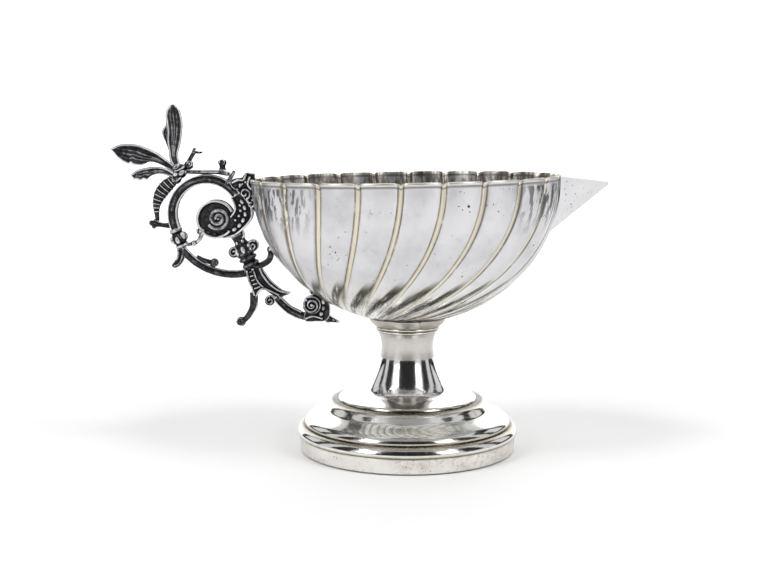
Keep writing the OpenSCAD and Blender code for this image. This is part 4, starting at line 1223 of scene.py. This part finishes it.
for y in (-0.9, 0.9):
    leg += [rod([(-68.2, 70.6, 0.5), (-67.6, 67.6, 0.45), (-68.2, 63.8, 0.4), (-70.1, 60.6, 0.35)], y=y),
            rod(arc(-75.1, 58.0, 1.5, 60, 330, 0.35), y=y * 1.7, steps=1, sides=8)]
cast("ball_leg", leg, grain=0.13, soften=1)
small = [slab([(-61.7 + 2.3 * math.cos(math.radians(t)), 67.4 + 2.3 * math.sin(math.radians(t)))
               for t in range(0, 360, 24)], 2.6)]
for y in (-1.4, 1.4):
    small.append(rod(arc(-61.7, 67.4, (1.95, 0.3), 90, 530, (0.45, 0.5)), y=y, steps=1, sides=8))
cast("small_volute", small, grain=0.12, soften=1)
tail = [rod([(-58.2, 69.7, 1.7), (-55.6, 67, 1.75), (-52.2, 63.8, 1.8), (-48.5, 61.6, 1.8),
             (-44.5, 60.5, 1.8)])]
for y in (-1.3, 1.3):
    tail += [rod([(-57.0, 70.2, 0.4), (-54.4, 67.4, 0.4), (-51.2, 64.7, 0.4), (-47.0, 62.7, 0.4)], y=y),
             rod([(-58.6, 67.8, 0.4), (-56.4, 65.4, 0.4), (-53.0, 62.4, 0.4), (-48.8, 60.2, 0.4)], y=y)]
cast("tail_branch", tail, grain=0.15, soften=1)

rosette = [slab([(-43 + 4.0 * math.cos(math.radians(t)), 66.4 + 4.0 * math.sin(math.radians(t)))
                 for t in range(0, 360, 15)], 6.0),
           slab([(-46.1, 62.9), (-45.9, 59.1), (-41.5, 58.9), (-36.8, 59.3), (-34.8, 62.6),
                 (-35.4, 68.5), (-36.6, 72.4), (-41.5, 72.9)], 4.8),
           bead(-42.2, 72.7, 2.0)]
for y in (-3.1, 3.1):
    rosette += [rod(arc(-43, 66.4, (3.5, 0.7), 130, 720, (0.65, 0.6), 40), y=y, steps=1, sides=8),
                rod(arc(-42.2, 72.6, (1.7, 0.3), 220, -200, (0.45, 0.35)), y=y * 0.62, steps=1, sides=8),
                rod([(-45.9, 60.2, 0.5), (-42.4, 61.3, 0.5), (-38.2, 60.2, 0.45)], y=y * 0.8),
                bead(-43, 66.4, 0.8, y=y * 1.05)]
    rosette.append(beads([(-38.8, 62.4), (-37.6, 66.0), (-38.6, 70.4)], 4, 0.9, y=y * 0.78, length=1.4,
                         flatness=0.5))
cast("rosette", rosette, grain=0.16, soften=1, against_bowl=True)
cast("pointed_tip", [
    slab([(-37.4, 62.6), (-36.4, 62.2), (-33.6, 60.2), (-30.7, 58.3), (-33.8, 58.3), (-37, 58.4)], 2.6),
    *both_faces(1.2, lambda y: rod([(-37.0, 60.8, 0.6), (-34.2, 59.7, 0.5), (-31.2, 58.5, 0.3)], y=y))],
     grain=0.12, soften=1, against_bowl=True)

# ---- Insect ----------------------------------------------------------------------------------------
# A cast wasp-like insect rides on the ring. Its thorax is facetted, its long abdomen is ringed and
# curls down outside the ring to a sprig, and two forked feelers stand up from its head.

thorax = [bead(-101, 125.2, 3.4), bead(-103, 122.2, 2.9), bead(-99.5, 126.5, 1.9)]
for y in (-1, 1):
    thorax += [bead(-102.2, 127.0, 1.5, y=y * 1.9, long=1.3, aim=30),
               bead(-99.9, 124.6, 1.2, y=y * 2.8, long=1.4, aim=40),
               bead(-102.6, 123.9, 1.0, y=y * 2.7, long=1.3, aim=20),
               rod([(-98.6, 127.4, 0.4), (-100.6, 126.0, 0.45), (-103.0, 125.2, 0.4)], y=y * 3.0),
               rod([(-100.3, 122.6, 0.4), (-102.2, 121.2, 0.45), (-104.2, 121.0, 0.4)], y=y * 2.2)]
cast("insect_thorax", thorax, grain=0.13, soften=1, rubbed=0.15)
head = [bead(-97, 127.9, 2.1)]
for y in (-1, 1):
    head += [rod(arc(-96.4, 128.6, 1.0, 0, 360, 0.38), y=y * 1.7, steps=1, sides=8),
             bead(-96.4, 128.6, 0.55, y=y * 1.8), bead(-95.2, 127.0, 0.5, y=y * 0.7)]
cast("insect_head", head, grain=0.11, soften=1, rubbed=0.10)
feelers = []
for y in (-1, 1):
    lean = math.tan(math.radians(14))
    for i, (x0, z0, x1, z1, r) in enumerate((
            (-97.1, 129.1, -95.9, 131.1, 0.85), (-95.9, 131.1, -94.7, 133.1, 0.8),
            (-94.7, 133.1, -93.7 + y, 133.6 - 0.8 * y, 0.6),
            (-93.7 + y, 133.6 - 0.8 * y, -92.5 + y, 133.8 - 0.8 * y, 0.5))):
        pieces = 6
        for k in range(pieces + 1):
            t = k / pieces
            x, z = x0 + (x1 - x0) * t, z0 + (z1 - z0) * t
            feelers.append(bead(x, z, r, y=y * (0.9 + lean * (z - 129.1))))
cast("insect_antennae", feelers, grain=0.11, soften=1)

abdomen_line = [(-104.3, 120.6, 2.3), (-107.1, 118.2, 2.9), (-109.7, 115.1, 2.85), (-111.4, 111.5, 2.15),
                (-112.0, 108, 1.4), (-111.8, 104.8, 1.05), (-111.6, 102.3, 0.9)]
abdomen = [rod(abdomen_line, sides=20)]
fine_line = smooth_run(abdomen_line, 8)
for i in range(3, len(fine_line) - 12, 4):
    x, z, r = fine_line[i]
    px, pz, _ = fine_line[i + 1]
    run = math.hypot(px - x, pz - z)
    abdomen.append(spun([(r, -0.28), (r + 0.32, -0.14), (r + 0.32, 0.14), (r, 0.28)], (x, z),
                        (x + (px - x) / run, z + (pz - z) / run), sides=24))
cast("insect_abdomen", abdomen, grain=0.13, soften=1)
cast("tail_sprig", [
    slab([(-104.6, 102.7), (-107.7, 102.2), (-110.3, 102.9), (-112.3, 103.8), (-114.1, 102.4),
          (-113.5, 101.3), (-112.9, 99.9), (-110.3, 100.6), (-107.9, 100.3), (-104.6, 100.1)], 2.2),
    bead(-113.3, 102.3, 1.35), bead(-112.4, 100.8, 1.15), bead(-111.7, 103.0, 1.2),
    bead(-105.2, 101.6, 1.2),
    *both_faces(0.9, lambda y: rod([(-104.8, 101.7, 0.5), (-108.6, 101.6, 0.5), (-112.4, 102.2, 0.4)],
                                   y=y))], grain=0.12, soften=1)

# ---- Wings -----------------------------------------------------------------------------------------
# Four wings cast flat and bent outwards a little. A raised bright edge runs round each, three veins
# (two on the hind wings) fan out from the root, and the hinder edge is cut into lobes.


def wing(node, front, back, root_y, off_plane, lean, cup, veins=(-0.55, -0.05, 0.45)):
    """front and back are the two edges from root to tip, (x, z); lean turns the tip off the plane."""
    side_way = math.copysign(1, off_plane)
    along_steps, across_steps = 90, 40
    front = smooth_run([(*p, 0) for p in front], 12)
    back = smooth_run([(*p, 0) for p in back], 12)

    def on_edge(edge, share):
        spot = share * (len(edge) - 1)
        k = min(int(spot), len(edge) - 2)
        t = spot - k
        return (edge[k][0] + (edge[k + 1][0] - edge[k][0]) * t,
                edge[k][1] + (edge[k + 1][1] - edge[k][1]) * t)

    long = math.dist(front[0][:2], front[-1][:2])
    vertices, faces, worn = [], [], []
    for face in (0, 1):
        for i in range(along_steps + 1):
            s = i / along_steps
            (fx, fz), (bx, bz) = on_edge(front, s), on_edge(back, s)
            half = max(0.02, math.hypot(fx - bx, fz - bz) / 2)
            for j in range(across_steps + 1):
                t = -1 + 2 * j / across_steps
                x, z = (bx + (fx - bx) * (t + 1) / 2, bz + (fz - bz) * (t + 1) / 2)
                from_edge = min((1 - abs(t)) * half, (1 - s) * long)
                rim = math.exp(-((from_edge - 0.5) / 0.5) ** 2)
                vein = 0.0
                for share in veins:
                    across_mm = (t - share * s ** 0.6) * half
                    vein = max(vein, math.exp(-(across_mm / 0.34) ** 2) * min(1, s * 6) * (1 - s ** 6))
                thick = (0.20 + 0.34 * rim + 0.24 * vein) * min(1.0, from_edge / 0.5) ** 0.5 + 0.10
                curve = cup * (t * t - 0.4) * min(1.0, half / 3) + math.sin(math.pi * s) * cup
                y = (root_y + (off_plane - root_y) * s ** 1.2
                     + side_way * math.tan(math.radians(lean)) * s * long
                     - side_way * curve + (thick if face else -thick))
                vertices.append((x, y, z))
                worn.append(min(1.3, 0.30 + 0.85 * rim + 0.55 * vein))
    row = across_steps + 1
    sheet = (along_steps + 1) * row
    for i in range(along_steps):
        for j in range(across_steps):
            a, b = i * row + j, (i + 1) * row + j
            faces += [(a, a + 1, b + 1, b), (sheet + a, sheet + b, sheet + b + 1, sheet + a + 1)]
    border = ([(0, j) for j in range(across_steps)] + [(i, across_steps) for i in range(along_steps)]
              + [(along_steps, j) for j in range(across_steps, 0, -1)]
              + [(i, 0) for i in range(along_steps, 0, -1)])
    for (i, j), (m, n) in zip(border, border[1:] + border[:1]):
        a, b = i * row + j, m * row + n
        faces.append((b, a, sheet + a, sheet + b))
    wing_mesh = bpy.data.meshes.new(node)
    wing_mesh.from_pydata([Vector(v) / 1000 for v in vertices], [], faces)
    mark = wing_mesh.attributes.new("wear", "FLOAT", "POINT")
    mark.data.foreach_set("value", worn)
    bm = bmesh.new()
    bm.from_mesh(wing_mesh)
    bmesh.ops.remove_doubles(bm, verts=bm.verts, dist=0.000004)
    bmesh.ops.recalc_face_normals(bm, faces=bm.faces)
    bm.to_mesh(wing_mesh)
    bm.free()
    wing_mesh.shade_smooth()
    wing_mesh.materials.append(oxidised_silver)
    piece = bpy.data.objects.new("cast_" + node, wing_mesh)
    scene.collection.objects.link(piece)
    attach(piece, "root")
    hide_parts(node)


wing("near_fore_wing",
     [(-101.8, 126.6), (-106.8, 130.6), (-110.5, 133.5), (-115.5, 135.9), (-120.9, 137.4),
      (-126.7, 137.1), (-130.6, 135.1)],
     [(-103.2, 124.6), (-109.2, 128.0), (-112.6, 129.2), (-114.8, 129.2), (-116.2, 128.3),
      (-118.6, 127.8), (-121.4, 128.2), (-122.4, 128.9), (-123.2, 128.4), (-125.6, 129.6),
      (-127.6, 131.2), (-129.4, 133.4), (-130.2, 134.6)], -1.2, -1.6, 7, 0.6)
wing("near_hind_wing",
     [(-103.2, 125.0), (-107.2, 126.8), (-111.2, 127.4), (-115.8, 126.9), (-119.4, 125.9), (-122.0, 124.1)],
     [(-104.0, 122.6), (-108.6, 124.0), (-111.4, 123.8), (-113.6, 122.9), (-115.4, 121.4), (-116.8, 121.8),
      (-118.2, 121.1), (-119.6, 121.7), (-120.9, 121.7), (-122.0, 123.0)], -2.4, -2.6, 4, 0.4,
     veins=(-0.3, 0.35))
wing("far_fore_wing",
     [(-100.4, 126.6), (-101.4, 129.9), (-101.8, 133.0), (-100.8, 136.6), (-100.2, 140.2), (-99.7, 145.0),
      (-100.0, 148.6), (-100.9, 151.6), (-102.3, 153.7), (-103.9, 154.8)],
     [(-103.4, 126.0), (-105.6, 130.5), (-106.0, 134.0), (-106.6, 138.4), (-106.5, 142.4),
      (-106.9, 146.0), (-107.4, 149.4), (-107.0, 152.0), (-105.9, 154.0), (-104.5, 154.9)],
     1.2, 1.6, 7, 0.6)
wing("far_hind_wing",
     [(-101.8, 126.0), (-103.4, 131.0), (-104.0, 136.0), (-104.6, 141.0), (-105.4, 145.0), (-106.6, 147.4)],
     [(-103.8, 125.6), (-105.8, 130.0), (-106.2, 134.0), (-107.4, 137.6), (-108.3, 139.6), (-109.2, 142.4),
      (-108.4, 144.4), (-107.4, 145.8), (-107.6, 146.8), (-107.0, 147.4)], 2.4, 2.8, 4, 0.4,
     veins=(-0.2, 0.4))
